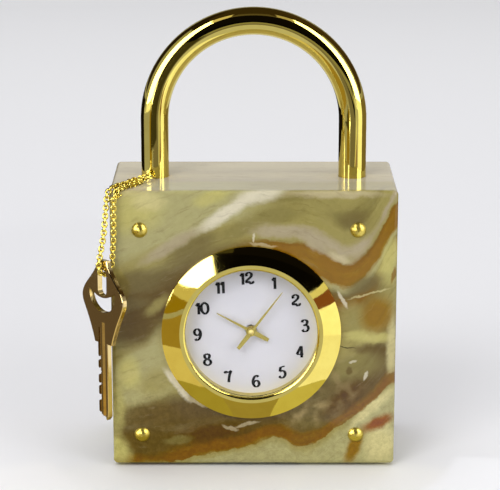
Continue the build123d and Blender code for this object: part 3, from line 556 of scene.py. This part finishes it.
def add_crystals(tree, colour, place, face):
    """Pale rims of coarse crystals in one area."""
    inputs = {"Vector": place, "Scale": crystal_scale}
    cells = put(tree, "ShaderNodeTexVoronoi", inputs, feature="SMOOTH_F1")
    rims = step(tree, cells.outputs["Distance"], low=0.3, high=0.75)
    area = use(tree, patch_group, Place=face, Centre=crystal_centre, Size=crystal_size, Turn=0.5,
               Soft=stain_soft)["Mask"]
    share = times(tree, rims, times(tree, area, crystal_share))
    return mix(tree, share, colour, paint("9E8B5B"))


def add_streaks(tree, colour, along):
    """Clouds, stains and threads that run along the layers."""
    for code, scale, roughness, low, high, strength in streaks:
        mask = step(tree, noise(tree, along, scale, 5.0, roughness), low, high)
        colour = mix(tree, times(tree, mask, strength), colour, paint(code))
    return colour


def add_grain(tree, colour, place, up):
    """A mottled grain, strongest at the foot, then contrast."""
    mottle = step(tree, noise(tree, place, scale=1.1, detail=5.0, roughness=0.7), 0.3, 0.7)
    grain = mix(tree, mottle, grain_dark, grain_light)
    strength = calc(tree, "MULTIPLY_ADD", step(tree, up, *foot_heights), foot_share, grain_share)
    colour = mix(tree, strength, colour, grain, "MULTIPLY")
    spread_out = stretch(tree, move(tree, "SUBTRACT", colour, stone_mean), stone_contrast)
    return move(tree, "MAXIMUM", move(tree, "ADD", spread_out, stone_mean), stone_darkest)


print("kinds of streak:", len(streaks))

# %% [markdown]
# ## Onyx: the whole stone
# The polished block shows all of it at once: layers, stains and a patch of painted shade, crystals,
# streaks, cracks, and a top face made paler by a painted reflection of its pale surroundings.
# What is laid on late hides what lies under it, so the finest marks come late. The veins are kept clear of
# stains, because the eye follows them.

# %% Onyx material
lean_across = 0.25
lean_up = 0.9
along_rates = (0.05, 9.0, 0.06)
half_blend = (-7.0, 7.0)
amber_vein = (-3.9, 0.5)
rust_vein = (-0.3, 2.4)
rust_start = (-21.0, -16.0)
vein_share = 0.85
# Painted reflection on the top face: where it is painted paler, and how strongly.
painted_sheen_heights = (56.5, 57.6)
painted_sheen_depths = (0.2, 2.0)
painted_sheen_share = 0.45


def make_onyx():
    """The stone, from its layers to its polish."""
    material, tree, surface = new_material("banded_onyx", Specular_IOR_Level=0.35)
    place = shake(tree, millimetres(tree))
    split = put(tree, "ShaderNodeSeparateXYZ", {0: place}).outputs
    depth = calc(tree, "SUBTRACT", split[1], front / mm)
    across = calc(tree, "MULTIPLY_ADD", depth, lean_across, split[0])
    up = calc(tree, "MULTIPLY_ADD", depth, lean_up, split[2])
    face = put(tree, "ShaderNodeCombineXYZ", {0: across, 2: up}).outputs[0]
    stack, over_lower, over_upper = stack_height(tree, across, up, depth)
    scaled = [times(tree, value, rate) for value, rate in zip((across, stack, depth), along_rates)]
    along = put(tree, "ShaderNodeCombineXYZ", dict(enumerate(scaled))).outputs[0]

    side = step(tree, across, *half_blend)
    layers = layer_colour(tree, stack, along, side)
    stained_and_shaded = add_patches(tree, layers, face, stone_slabs, slab_soft)
    # Stains, and the painted shade beside the top right stud.
    stained_and_shaded = add_patches(tree, stained_and_shaded, face, stone_stains_and_shade, stain_soft)
    amber = times(tree, vein_mask(tree, over_upper, *amber_vein), side)
    rust = vein_mask(tree, over_lower, *rust_vein)
    rust = times(tree, rust, step(tree, across, *rust_start))
    veins = times(tree, calc(tree, "MAXIMUM", amber, rust), vein_share)
    colour = mix(tree, veins, stained_and_shaded, layers)
    colour = add_crystals(tree, colour, place, face)
    colour = add_streaks(tree, colour, along)
    colour = add_patches(tree, colour, face, stone_cracks, crack_soft)
    colour = add_grain(tree, colour, place, up)
    # Painted reflection: the top face is mixed towards a pale cream, for the pale surroundings it mirrors.
    top = times(tree, step(tree, depth, *painted_sheen_depths), step(tree, split[2], *painted_sheen_heights))
    colour = mix(tree, times(tree, top, painted_sheen_share), colour, paint("D6CFBE"))

    feed(surface, Base_Color=colour)
    polish(surface, scale=0.15, low=0.08, high=0.18)
    return material


dress(make_onyx(), "onyx_block")

# %% [markdown]
# ## Gold
# Shackle, studs, bezel and chain are brass with a bright gold plating. A metal has no colour apart from
# what it reflects, so the finish is a fully metallic shader with a warm tint. Handling marks vary its
# roughness, and the ripple bends the reflections a little. Studs, hub and key are less polished. The studs
# are tinted a darker gold as painted shade, and the hub cap a paler, brighter gold as a painted highlight.

# %% Gold materials
worn_shares = (0.95, 0.93, 0.88)
ripple_depth = 0.02 * mm


def make_gold(name, code, low, high, ripple, scale):
    """Polished plating with faint smudges."""
    material, tree, surface = new_material(name, Metallic=1.0)
    marks = polish(surface, scale, low, high)
    deep = paint(code)
    worn = (*[channel * share for channel, share in zip(deep, worn_shares)], 1.0)
    feed(surface, Base_Color=mix(tree, marks["Cloud"], deep, worn))
    emboss(surface, marks["Ripple"], ripple, ripple_depth)
    return material


gold = make_gold("polished_gold", "DAC96A", 0.03, 0.07, 0.05, 0.3)
key_gold = make_gold("key_gold", "D2BC86", 0.06, 0.14, 0.15, 0.8)
# Painted shade: the studs get a darker gold than the shackle.
stud_gold_painted_shade = make_gold("stud_gold_painted_shade", "BEAC54", 0.26, 0.34, 0.1, 0.8)
# Painted highlight: the hub cap gets a paler, brighter gold for the hub's bright dome.
cap_gold_painted_highlight = make_gold("cap_gold_painted_highlight", "FFEFA0", 0.3, 0.4, 0.1, 0.8)
dress(gold, "shackle", "bezel", "dial_ring", "chain_eye", "hour_hand", "minute_hand")
dress(cap_gold_painted_highlight, "hand_cap")
dress(key_gold, "key")
dress(stud_gold_painted_shade, "stud_top_left", "stud_top_right", "stud_bottom_left", "stud_bottom_right")

# %% [markdown]
# ## The chain's line
# The real chain is finer than the stiff links of the mechanical model. The model gives the line: the
# middle of each link, in order from one end of the hinge to the other. A line could be drawn by hand, but
# this one follows the model. The two strands hang closer on the real clock, so the line is drawn in along
# the hinge, and kept off the stone.

# %% Chain line
link_pitch = 0.84 * mm
link_length = 1.58 * mm
link_width = 1.28 * mm
wire_radius = 0.20 * mm
strand_gap = 2.22 * mm
strand_shift = 0.81 * mm
strand_squeeze = 0.27
fade_slope = 2.1
same_place = 1e-7
swing = next(joint for joint in frame["record"]["behaviour"]["joints"] if joint["name"] == "chain_swing")
hinge_middle = Vector(swing["pos_m"])
hinge_line = Vector(swing["axis"])
hinge_left = hinge_middle + hinge_line * strand_gap / 2
hinge_right = hinge_middle - hinge_line * strand_gap / 2


def link_middles(name):
    """The middle of every separate ring in a chain node."""
    shape = bmesh.new()
    shape.from_mesh(pieces[name].data)
    bmesh.ops.remove_doubles(shape, verts=shape.verts, dist=same_place)
    middles, seen = [], set()
    for start in shape.verts:
        if start in seen:
            continue
        seen.add(start)
        ring = [start]
        for vertex in ring:
            found = {edge.other_vert(vertex) for edge in vertex.link_edges} - seen
            seen |= found
            ring.extend(found)
        low, high = [Vector([pick(v.co[i] for v in ring) for i in range(3)]) for pick in (min, max)]
        middles.append((low + high) / 2)
    shape.free()
    return middles


def strand_line(name):
    """The link middles as one line, each next link the nearest left."""
    waiting = link_middles(name)
    here = hinge_left
    line = [here]
    while waiting:
        here = min(waiting, key=lambda place: (place - here).length)
        waiting.remove(here)
        line.append(here)
    return [*line, hinge_right]


def drawn_in(line):
    """A line moved along the hinge, most of all near it, and kept off the stone."""
    reach = max((place - hinge_middle).length for place in line)
    moved = []
    for place in line:
        fade = min(1, fade_slope * (1 - (place - hinge_middle).length / reach))
        off = (place - hinge_middle).dot(hinge_line)
        place = place - hinge_line * (strand_shift + strand_squeeze * off) * fade
        nearest = Vector([min(max(place[i], stone_low[i]), stone_high[i]) for i in range(3)])
        gap = place - nearest
        moved.append(place + gap.normalized() * max(0, link_width / 2 - gap.length))
    return moved


def even_steps(line, pitch):
    """Points on a line at an even pitch, each with its direction."""
    lengths = [(b - a).length for a, b in zip(line, line[1:])]
    total = sum(lengths)
    count = max(2, round(total / pitch))
    steps = []
    for index in range(count):
        reach = total * (index + 0.5) / count
        part = 0
        while part < len(lengths) - 1 and reach > lengths[part]:
            reach -= lengths[part]
            part += 1
        a, b = line[part], line[part + 1]
        steps.append((a.lerp(b, reach / lengths[part]), (b - a).normalized()))
    return steps


print("chain hinge at", [round(v / mm, 2) for v in hinge_middle], "mm")

# %% [markdown]
# ## The chain's links
# A link is a small oval ring of round wire. Links could be copies of one object, but one mesh for each
# strand is simpler to move. They are turned one way and the other by turns, so that neighbours lock. Each
# strand stays on the body that carries it.

# %% Fine chain
link_turn = math.radians(42)
link_lean = Vector((0.6, 0.8, 0.1))
ring_parts = 20
wire_sides = 8


def link_ring():
    """The oval middle line of one link, as (along, across) pairs."""
    bend = link_width / 2 - wire_radius
    straight = link_length / 2 - wire_radius - bend
    ring = []
    for index in range(ring_parts):
        turn = 2 * math.pi * index / ring_parts
        along = bend * math.cos(turn) + math.copysign(straight, math.cos(turn))
        ring.append((along, bend * math.sin(turn)))
    return ring


def add_link(points, faces, place, along, across):
    """One link of round wire."""
    ring = link_ring()
    normal = along.cross(across)
    first = len(points)
    for index, (u, v) in enumerate(ring):
        before, after = ring[index - 1], ring[(index + 1) % ring_parts]
        run = (along * (after[0] - before[0]) + across * (after[1] - before[1])).normalized()
        outward = run.cross(normal)
        for side in range(wire_sides):
            turn = 2 * math.pi * side / wire_sides
            rim = outward * math.cos(turn) + normal * math.sin(turn)
            points.append(place + along * u + across * v + rim * wire_radius)
    for index in range(ring_parts):
        here = first + index * wire_sides
        there = first + (index + 1) % ring_parts * wire_sides
        for side in range(wire_sides):
            beside = (side + 1) % wire_sides
            faces.append((here + side, here + beside, there + beside, there + side))


def make_strand(name, node, body):
    """A fine chain along the line of a chain node."""
    points, faces = [], []
    line = drawn_in(strand_line(node))
    for index, (place, along) in enumerate(even_steps(line, link_pitch)):
        level = along.cross(link_lean).normalized()
        turn = link_turn if index % 2 else -link_turn
        across = level * math.cos(turn) + along.cross(level) * math.sin(turn)
        add_link(points, faces, place, along, across)
    strand = add_mesh(name, points, faces, gold)
    strand.data.shade_smooth()
    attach(strand, body)
    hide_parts(node)
    print(name, len(faces), "faces")


make_strand("fine_chain_upper", "chain_upper", "block")
make_strand("fine_chain_hanging", "chain_hanging", "chain")

# %% [markdown]
# ## Dial and glass
# The dial is sprayed metal, a cool white. A glass shader alone would keep the lamps off it, because their
# rays bend in the glass, so shadow rays are given a clear shader. Real glass has an index near 1.5 and
# would lay a grey image of the ground over the print; a low index keeps the print black.

# %% Dial and crystal
glass_index = 1.2


def make_dial_paint():
    """Fine sprayed white."""
    material, tree, surface = new_material("dial_white", Roughness=0.45)
    grain = use(tree, grain_group, Place=millimetres(tree), Scale=6.0)
    tint(surface, grain["Shade"], "CDCDD7", "D5D5DF")
    emboss(surface, grain["Height"], strength=0.1, depth=0.01 * mm)
    return material


def make_glass():
    """Clear mineral glass, with a clear shader for shadow rays."""
    material, tree, surface = new_material("mineral_glass", Transmission_Weight=1.0, IOR=glass_index)
    polish(surface, scale=0.25, low=0.0, high=0.03)
    path = put(tree, "ShaderNodeLightPath")
    clear = put(tree, "ShaderNodeBsdfTransparent")
    chosen = put(tree, "ShaderNodeMixShader", {
        0: path.outputs["Is Shadow Ray"], 1: surface.outputs[0], 2: clear.outputs[0],
    })
    tree.links.new(chosen.outputs[0], tree.nodes["Material Output"].inputs["Surface"])
    return material


dress(make_dial_paint(), "dial")
dress(make_glass(), "crystal")

# %% [markdown]
# ## Felt and moulded plastic
# The underside has a felt pad, and the insert's case, plates and wheels are moulded. Felt scatters light
# in all directions, so it is rough with a short sheen; hair would be too much for so thin a pad. Plastic
# is a plain colour with a fine grain, a little smoother where it rubs.


# %% Felt and plastics
def make_felt():
    """Short matted fibres."""
    material, tree, surface = new_material("green_felt", Roughness=0.95, Sheen_Weight=0.4)
    point = millimetres(tree)
    fibres = noise(tree, point, 5.0, detail=6.0, roughness=0.75)
    tufts = noise(tree, point, 0.6)
    shade = times(tree, fibres, calc(tree, "ADD", tufts, 0.5))
    tint(surface, shade, "14221A", "2E4436")
    emboss(surface, fibres, strength=0.6, depth=0.15 * mm)
    return material


def make_plastic(name, dark, light, low, high, grain_scale=7.0):
    """Moulded plastic with a fine grain and rubbed places."""
    material, tree, surface = new_material(name)
    grain = use(tree, grain_group, Place=millimetres(tree), Scale=grain_scale)
    tint(surface, grain["Shade"], dark, light)
    polish(surface, 0.5, low, high)
    emboss(surface, grain["Height"], strength=0.25, depth=0.03 * mm)
    return material


dress(make_felt(), "base_felt")
case_black = make_plastic("case_black", "1B1C1E", "26272A", 0.32, 0.5)
plate_grey = make_plastic("plate_grey", "50545A", "62666C", 0.4, 0.55)
gear_ivory = make_plastic("gear_ivory", "D8D2C0", "E6E1D2", 0.3, 0.45, 9.0)
dress(case_black, "movement_case", "battery_cover", "grip_ring", "setting_knob")
dress(plate_grey, "main_plate", "train_bridge")
dress(gear_ivory, "hour_wheel", "minute_wheel", "intermediate_wheel", "rotor_pinion", "coil_bobbin")

# %% [markdown]
# ## Metals and electronics of the movement
# The works hardly show, yet each has its finish: metal with fine lines in one direction, a winding of
# enamelled copper, a lacquered board with pale tracks, and a black resin drop. The turns of the winding
# could be modelled, but a wave along the coil draws them at no cost.

# %% Movement materials
winding_rate = 42.0


def make_lined_metal(name, dark, light, low, high, line_scale):
    """Rolled or drawn metal: fine lines in one direction."""
    material, tree, surface = new_material(name, Metallic=1.0)
    squeezed = move(tree, "MULTIPLY", millimetres(tree), (0.4, line_scale, line_scale))
    lines = noise(tree, squeezed, 1.0, detail=4.0, roughness=0.6)
    tint(surface, lines, dark, light)
    polish(surface, 0.6, low, high)
    emboss(surface, lines, strength=0.15, depth=0.02 * mm)
    return material


def make_winding():
    """Enamelled copper wire, wound along the longer side."""
    material, tree, surface = new_material("copper_winding", Metallic=1.0, Roughness=0.3)
    low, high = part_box("coil_winding")
    axis = put(tree, "ShaderNodeSeparateXYZ", {0: millimetres(tree)}).outputs
    run = axis[0] if high.x - low.x >= high.z - low.z else axis[2]
    wave = calc(tree, "SINE", times(tree, run, winding_rate))
    height = calc(tree, "MULTIPLY_ADD", wave, 0.5, 0.5)
    # Painted shade: the troughs of the wave are a dark copper, for the shade between the turns.
    tint(surface, height, "5E2E14", "C4763C")
    emboss(surface, height, strength=0.8, depth=0.05 * mm)
    return material


def make_board():
    """Green lacquer over paler tracks."""
    material, tree, surface = new_material("board_lacquer", Roughness=0.3)
    point = millimetres(tree)
    upright = {"Vector": point, "Axis": (1, 0, 0), "Angle": math.pi / 2}
    facing = put(tree, "ShaderNodeVectorRotate", upright).outputs[0]
    tracks = put(tree, "ShaderNodeTexBrick", {"Vector": facing, "Scale": 0.5, "Mortar Size": 0.06})
    grain = use(tree, grain_group, Place=point, Scale=6.0)
    lacquer = mix(tree, grain["Shade"], paint("1E4A2C"), paint("2A5E3A"))
    feed(surface, Base_Color=mix(tree, tracks.outputs["Fac"], lacquer, paint("4E8A56")))
    return material


brass = make_lined_metal("movement_brass", "A8873C", "C8A85A", 0.2, 0.35, 6.0)
steel = make_lined_metal("rolled_steel", "8C8E92", "B4B6BA", 0.22, 0.38, 8.0)
dress(brass, "cannon_pinion", "centre_wheel")
dress(steel, "stator", "coil_core", "bridge_screws", "coil_screws", "quartz_can", "battery",
      "contact_negative", "contact_positive", "setting_arbor", "rotor_magnet")
dress(make_winding(), "coil_winding")
dress(make_board(), "circuit_board")
dress(make_plastic("chip_resin", "0C0C0E", "16161A", 0.15, 0.3), "ic_chip")
print("pieces without a finish:", [name for name, piece in pieces.items() if not piece.data.materials])

# %% [markdown]
# ## Numerals: the strokes
# The hours are printed with a broad nib: upright strokes come out thick and level ones thin. A font would
# bring in someone else's lettering, so each digit is drawn as a few strokes, in units of its height. A
# stroke is a smooth line through a handful of points, swept by the nib to a ribbon.

# %% Digit strokes
digit_height = 2.45 * mm
digit_width = 0.62
digit_gap = 0.10
narrow_digits = {"1": 0.30}
nib_thick = 0.12
nib_thin = 0.05
digit_strokes = {
    "0": [[(0.31, 1), (0.08, 0.78), (0.03, 0.5), (0.08, 0.22), (0.31, 0), (0.54, 0.22), (0.59, 0.5),
           (0.54, 0.78), (0.31, 1)]],
    "1": [[(0.0, 0.74), (0.2, 0.97)], [(0.24, 1.0), (0.21, 0.5), (0.18, 0.0)]],
    "2": [[(0.14, 0.7), (0.12, 0.88), (0.32, 1.0), (0.53, 0.88), (0.5, 0.66), (0.28, 0.46), (0.08, 0.3),
           (0.12, 0.16), (0.28, 0.22), (0.44, 0.04), (0.62, 0.12), (0.6, 0.24)]],
    "3": [[(0.1, 0.8), (0.16, 0.96), (0.34, 1.0), (0.52, 0.88), (0.46, 0.64), (0.26, 0.55), (0.5, 0.48),
           (0.58, 0.24), (0.42, 0.02), (0.18, 0.02), (0.07, 0.18)]],
    "4": [[(0.44, 0.98), (0.24, 0.66), (0.03, 0.3)], [(0.03, 0.3), (0.6, 0.28)],
          [(0.46, 1.0), (0.45, 0.5), (0.42, 0.0)]],
    "5": [[(0.58, 1.0), (0.22, 0.95)], [(0.22, 0.95), (0.15, 0.56)],
          [(0.15, 0.56), (0.34, 0.63), (0.54, 0.5), (0.55, 0.22), (0.36, 0.01), (0.16, 0.03),
           (0.06, 0.18)]],
    "6": [[(0.52, 0.84), (0.44, 0.98), (0.24, 0.9), (0.08, 0.6), (0.07, 0.28), (0.22, 0.03), (0.42, 0.03),
           (0.56, 0.22), (0.52, 0.44), (0.34, 0.55), (0.16, 0.46), (0.08, 0.32)]],
    "7": [[(0.03, 0.8), (0.1, 0.96), (0.32, 0.88), (0.58, 1.0)], [(0.58, 1.0), (0.38, 0.58), (0.28, 0.0)]],
    "8": [[(0.31, 1.0), (0.12, 0.9), (0.14, 0.68), (0.31, 0.55), (0.48, 0.68), (0.5, 0.9), (0.31, 1.0)],
          [(0.31, 0.55), (0.08, 0.4), (0.06, 0.16), (0.31, 0.0), (0.56, 0.16), (0.54, 0.4), (0.31, 0.55)]],
}
digit_strokes["9"] = [[(digit_width - x, 1 - y) for x, y in stroke] for stroke in digit_strokes["6"]]


def smooth_line(points, parts=10):
    """A Catmull-Rom line through points."""
    ends = [points[0], *points, points[-1]]
    line = []
    for a, b, c, d in zip(ends, ends[1:], ends[2:], ends[3:]):
        for index in range(parts):
            t = index / parts
            weights = (
                -t ** 3 + 2 * t * t - t,
                3 * t ** 3 - 5 * t * t + 2,
                -3 * t ** 3 + 4 * t * t + t,
                t ** 3 - t * t,
            )
            line.append(tuple(sum(w * q[i] for w, q in zip(weights, (a, b, c, d))) / 2 for i in (0, 1)))
    line.append(points[-1])
    return line


def nib_ribbon(line):
    """Left and right edges of a stroke drawn with a broad nib."""
    edges = []
    for index, (x, y) in enumerate(line):
        before = line[max(index - 1, 0)]
        after = line[min(index + 1, len(line) - 1)]
        run = Vector((after[0] - before[0], after[1] - before[1]))
        run.normalize()
        half = nib_thin + (nib_thick - nib_thin) * abs(run.y)
        edges.append(((x - run.y * half, y + run.x * half), (x + run.y * half, y - run.x * half)))
    return edges


print("digits drawn:", ", ".join(sorted(digit_strokes)))

# %% [markdown]
# ## Numerals: the print
# The numbers stand upright on the dial, which is turned a little in its hole. A texture could paint them,
# but crisp edges would need a large picture. Ribbons, just clear of the paint, stay sharp.

# %% Printed hours
dial_turn = math.radians(5.0)
print_lift = 0.02 * mm
hour_ring = 11.0 * mm
hour_angle = math.radians(30)
dial_low, dial_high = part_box("dial")
dial_right = Vector((math.cos(dial_turn), 0, math.sin(dial_turn)))
dial_up = Vector((-math.sin(dial_turn), 0, math.cos(dial_turn)))
dial_middle = (dial_low + dial_high) / 2
dial_middle.y = dial_low.y - print_lift


def add_number(text, angle, points, faces):
    """Add one number at an angle from twelve."""
    widths = [narrow_digits.get(digit, digit_width) for digit in text]
    pen = -(sum(widths) + digit_gap * (len(text) - 1)) / 2
    centre = dial_middle + (dial_right * math.sin(angle) + dial_up * math.cos(angle)) * hour_ring
    for digit, width in zip(text, widths):
        for stroke in digit_strokes[digit]:
            edges = nib_ribbon(smooth_line(stroke))
            first = len(points)
            for pair in edges:
                for x, y in pair:
                    points.append(centre + (dial_right * (pen + x) + dial_up * (y - 0.5)) * digit_height)
            for index in range(len(edges) - 1):
                corner = first + 2 * index
                faces.append((corner, corner + 2, corner + 3, corner + 1))
        pen += width + digit_gap


def make_numerals():
    """All twelve numbers as one printed layer on the dial."""
    points, faces = [], []
    for hour in range(1, 13):
        add_number(str(hour), hour * hour_angle, points, faces)
    material, tree, surface = new_material("printed_black", Roughness=0.6, Specular_IOR_Level=0.1)
    grain = use(tree, grain_group, Place=millimetres(tree), Scale=9.0)
    tint(surface, grain["Shade"], "050507", "0E0E12")
    numerals = add_mesh("numerals", points, faces, material)
    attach(numerals, "insert")
    print("numerals:", len(faces), "faces")


make_numerals()

# %% [markdown]
# ## The stage
# A pale floor fills the picture, like a photographer's paper, and painted light makes it paler to the
# back. The light is soft: a wide lamp above and in front, a fill at the right, one from above, and an even
# sky. The lamps leave no image in the gold, because the next step builds its reflections.

# %% Floor and light
floor_half = 3.0
floor_painted_light_span = (0.02, 0.6)
lamp_target = Vector((0, 0, 0.04))
sky_strength = 0.45


def make_floor():
    """A wide pale floor under the felt."""
    material, tree, surface = new_material("floor_white", Roughness=0.6)
    place = put(tree, "ShaderNodeTexCoord").outputs["Object"]
    near = mix(tree, noise(tree, place, 1.5, detail=2.0), paint("E6E6EA"), paint("EEEEF2"))
    # Painted light: the floor is mixed towards a paler white further back.
    back = step(tree, put(tree, "ShaderNodeSeparateXYZ", {0: place}).outputs[1], *floor_painted_light_span)
    feed(surface, Base_Color=mix(tree, back, near, paint("F7F7FA")))
    corners = [(x * floor_half, y * floor_half, 0) for x, y in ((-1, -1), (1, -1), (1, 1), (-1, 1))]
    floor = add_mesh("floor", corners, [(0, 1, 2, 3)], material)


def make_lamp(name, place, size, power):
    """A square soft lamp that looks at the clock."""
    data = bpy.data.lights.new(name, "AREA")
    data.size = size
    data.energy = power
    lamp = bpy.data.objects.new(name, data)
    lamp.location = place
    lamp.rotation_euler = (lamp_target - Vector(place)).to_track_quat("-Z", "Y").to_euler()
    lamp.visible_glossy = False
    bpy.context.scene.collection.objects.link(lamp)


make_floor()
make_lamp("key_lamp", (-0.45, -0.75, 0.85), 0.5, 5.0)
make_lamp("fill_lamp", (0.75, -0.6, 0.5), 0.5, 2.5)
make_lamp("top_lamp", (0.0, 0.2, 1.0), 0.7, 4.0)

world = bpy.data.worlds.new("studio_sky")
world.use_nodes = True
sky = world.node_tree.nodes["Background"].inputs
sky["Color"].default_value = (1, 1, 1, 1)
sky["Strength"].default_value = sky_strength
bpy.context.scene.world = world
print("floor, lamps and sky ready")

# %% [markdown]
# ## A tent for the reflections
# Polished gold shows its surroundings more than itself: here darkness, a tall soft light at each side, a
# strip overhead, and the ground. A picture of a studio could be wrapped round the scene. A tent of plain
# panels is easier to steer, because each has its own place and brightness. Only reflections see the
# panels, so the stone and the dial stay evenly lit.

# %% Tent helpers
tent_middle = 0.05
panel_rows = 6
column_degrees = 6
hidden_from = ("camera", "diffuse", "shadow", "transmission", "volume_scatter")


def post(azimuth, height, distance):
    """A point at a height; azimuth 0 is to the camera, positive to the right."""
    a = math.radians(azimuth)
    return (distance * math.sin(a), -distance * math.cos(a), height)


def heading(azimuth, elevation, reach):
    """A point of the sky, seen from the middle of the clock."""
    e = math.radians(elevation)
    return post(azimuth, reach * math.sin(e) + tent_middle, reach * math.cos(e))


def spread(azimuth, distance, height):
    """A point just over the ground."""
    return post(azimuth, height, distance)


def oblong(azimuths, rises):
    """The four corners of an upright panel."""
    (left, right), (low, high) = azimuths, rises
    return [(left, low), (right, low), (right, high), (left, high)]


def part_way(a, b, share):
    """A pair of values part of the way from one pair to another."""
    return tuple(p + (q - p) * share for p, q in zip(a, b))


def make_panel(name, place, corners, reach, code, strength=1.0):
    """A curved panel between four corners, which glows for reflections only."""
    azimuths = [azimuth for azimuth, _ in corners]
    columns = max(4, int((max(azimuths) - min(azimuths)) / column_degrees))
    points, faces = [], []
    for row in range(panel_rows + 1):
        start = part_way(corners[0], corners[3], row / panel_rows)
        end = part_way(corners[1], corners[2], row / panel_rows)
        for column in range(columns + 1):
            points.append(place(*part_way(start, end, column / columns), reach))
    for row in range(panel_rows):
        for column in range(columns):
            first = row * (columns + 1) + column
            faces.append((first, first + 1, first + columns + 2, first + columns + 1))
    material, _, _ = new_material(name, Roughness=1.0, Specular_IOR_Level=0.0, Base_Color=(0, 0, 0, 1),
                                  Emission_Color=paint(code), Emission_Strength=strength)
    panel = add_mesh(name, points, faces, material)
    for sight in hidden_from:
        setattr(panel, "visible_" + sight, False)


print("straight up in the tent:", heading(0, 90, 1.0)[2])

# %% [markdown]
# ## Panels of the tent
# A bent mirror shows each panel in one place only, so the panels are set where the reflected rays go: dark
# and bright ones far off, by azimuth and elevation, for the tubes of the shackle; screens near the clock,
# by azimuth and height, for the cone of the bezel; and patches on the ground, by azimuth and distance, for
# its lower half and the key.

# %% Tent panels
room_reach = 1.6
window_reach = 1.5
table_lift = 0.5 * mm
room = [
    ("dark_front", (-58, 50), (3, 62), "120F0C"),
    ("dark_back_left", (-152, -104), (4, 62), "2A2014"),
    ("dark_back_right", (90, 152), (4, 62), "4A3A22"),
    ("dark_back", (152, 208), (30, 62), "40341F"),
    ("dark_left", (-104, -58), (50, 62), "2A2014"),
    ("dark_right", (50, 90), (45, 62), "2A2014"),
    ("dark_roof", (-180, 180), (62, 90), "40341F"),
]
windows = [
    ("window_left", [(-79, -1.5), (-37, -1.5), (-33, 48), (-62, 62)], "FFFCF4", 7.0),
    ("window_right", [(43, -1.5), (80, -1.5), (66, 64), (38, 51)], "FFFCF4", 7.0),
    ("strip_left", [(-62, 62), (-33, 48), (-20, 56), (-40, 72)], "FFF0D8", 0.9),
    ("strip_right", [(38, 51), (66, 64), (45, 72), (22, 57)], "FFF0D8", 0.6),
    ("strip_roof", oblong((-25, 25), (54, 68)), "FFE8C0", 0.13),
]
screens = [
    ("screen_left", oblong((-180, -97), (0, 0.075)), 0.2, "1A140C"),
    ("screen_bright", oblong((50, 82), (0, 0.07)), 0.2, "FFFFFF", 1.6),
    ("screen_back", oblong((84, 150), (0, 0.075)), 0.2, "8A7A5A"),
    ("shade_left", [(-56, 0.0585), (-12, 0.0585), (-12, 0.08), (-46, 0.1)], 0.042, "48432F"),
    ("arch_left", [(-48, 0.068), (0, 0.0805), (0, 0.0885), (-48, 0.078)], 0.045, "CFCBB4", 0.6),
    ("arch_right", [(0, 0.0805), (48, 0.068), (48, 0.078), (0, 0.0885)], 0.045, "CFCBB4", 0.6),
    ("screen_white", [(-40.9, 0.0628), (-23.8, 0.1156), (-12.6, 0.0457), (-18.1, 0.0333)], 0.16,
     "FFFFFF", 8.0),
    ("screen_dark", [(-23.6, 0.16), (39, 0.08), (19.5, 0.024), (-12, 0.048)], 0.25, "0A0806"),
    ("screen_gap", [(21.4, 0.0318), (39.7, 0.0546), (41.8, 0.0475), (22.7, 0.028)], 0.11, "FFFAE0"),
    ("screen_brown", [(22.7, 0.028), (41.8, 0.0475), (44.8, 0.0338), (24.8, 0.0202)], 0.11, "935B3F"),
    ("screen_right", [(24.8, 0.0202), (44.8, 0.0338), (50, 0.001), (22, 0.001)], 0.11, "FFFFFF", 1.6),
    ("screen_amber", [(-46.5, 0.004), (-42, 0.05), (-21.6, 0.01), (-24, 0.0)], 0.25, "A78B22"),
    ("screen_pale", [(-42, 0.05), (-40.7, 0.0777), (-17.2, 0.0295), (-21.6, 0.01)], 0.25, "E8DCB0"),
]
table = [
    ("table_key", (-112, -76), (0.045, 0.2), "6E604F"),
    ("table_near_left", (-70, -16), (0.016, 0.043), "BCB065"),
    ("table_near_front", (-16, 14), (0.016, 0.043), "B5A66C"),
    ("table_near_right", (14, 70), (0.016, 0.043), "E5DD9B"),
    ("table_mid_left", (-76, -20), (0.043, 0.085), "F4E6BE"),
    ("table_mid_front", (-20, 20), (0.043, 0.2), "DCDCE6"),
    ("table_mid_right", (20, 80), (0.043, 0.2), "FFFFFF", 1.35),
    ("table_wide_left", (-76, -20), (0.085, 0.2), "B3994F"),
    ("table_far_left", (-112, -16), (0.2, 0.6), "BCBCC4"),
    ("table_far_front", (-16, 25), (0.2, 0.6), "898482"),
    ("table_far_right", (25, 80), (0.2, 0.6), "D9D9DC"),
]
for name, azimuths, elevations, code in room:
    make_panel(name, heading, oblong(azimuths, elevations), room_reach, code)
for name, corners, code, strength in windows:
    make_panel(name, heading, corners, window_reach, code, strength)
for name, corners, reach, code, *strength in screens:
    make_panel(name, post, corners, reach, code, *strength)
for name, azimuths, distances, code, *strength in table:
    make_panel(name, spread, oblong(azimuths, distances), table_lift, code, *strength)
print("tent panels:", len(room + windows + screens + table))
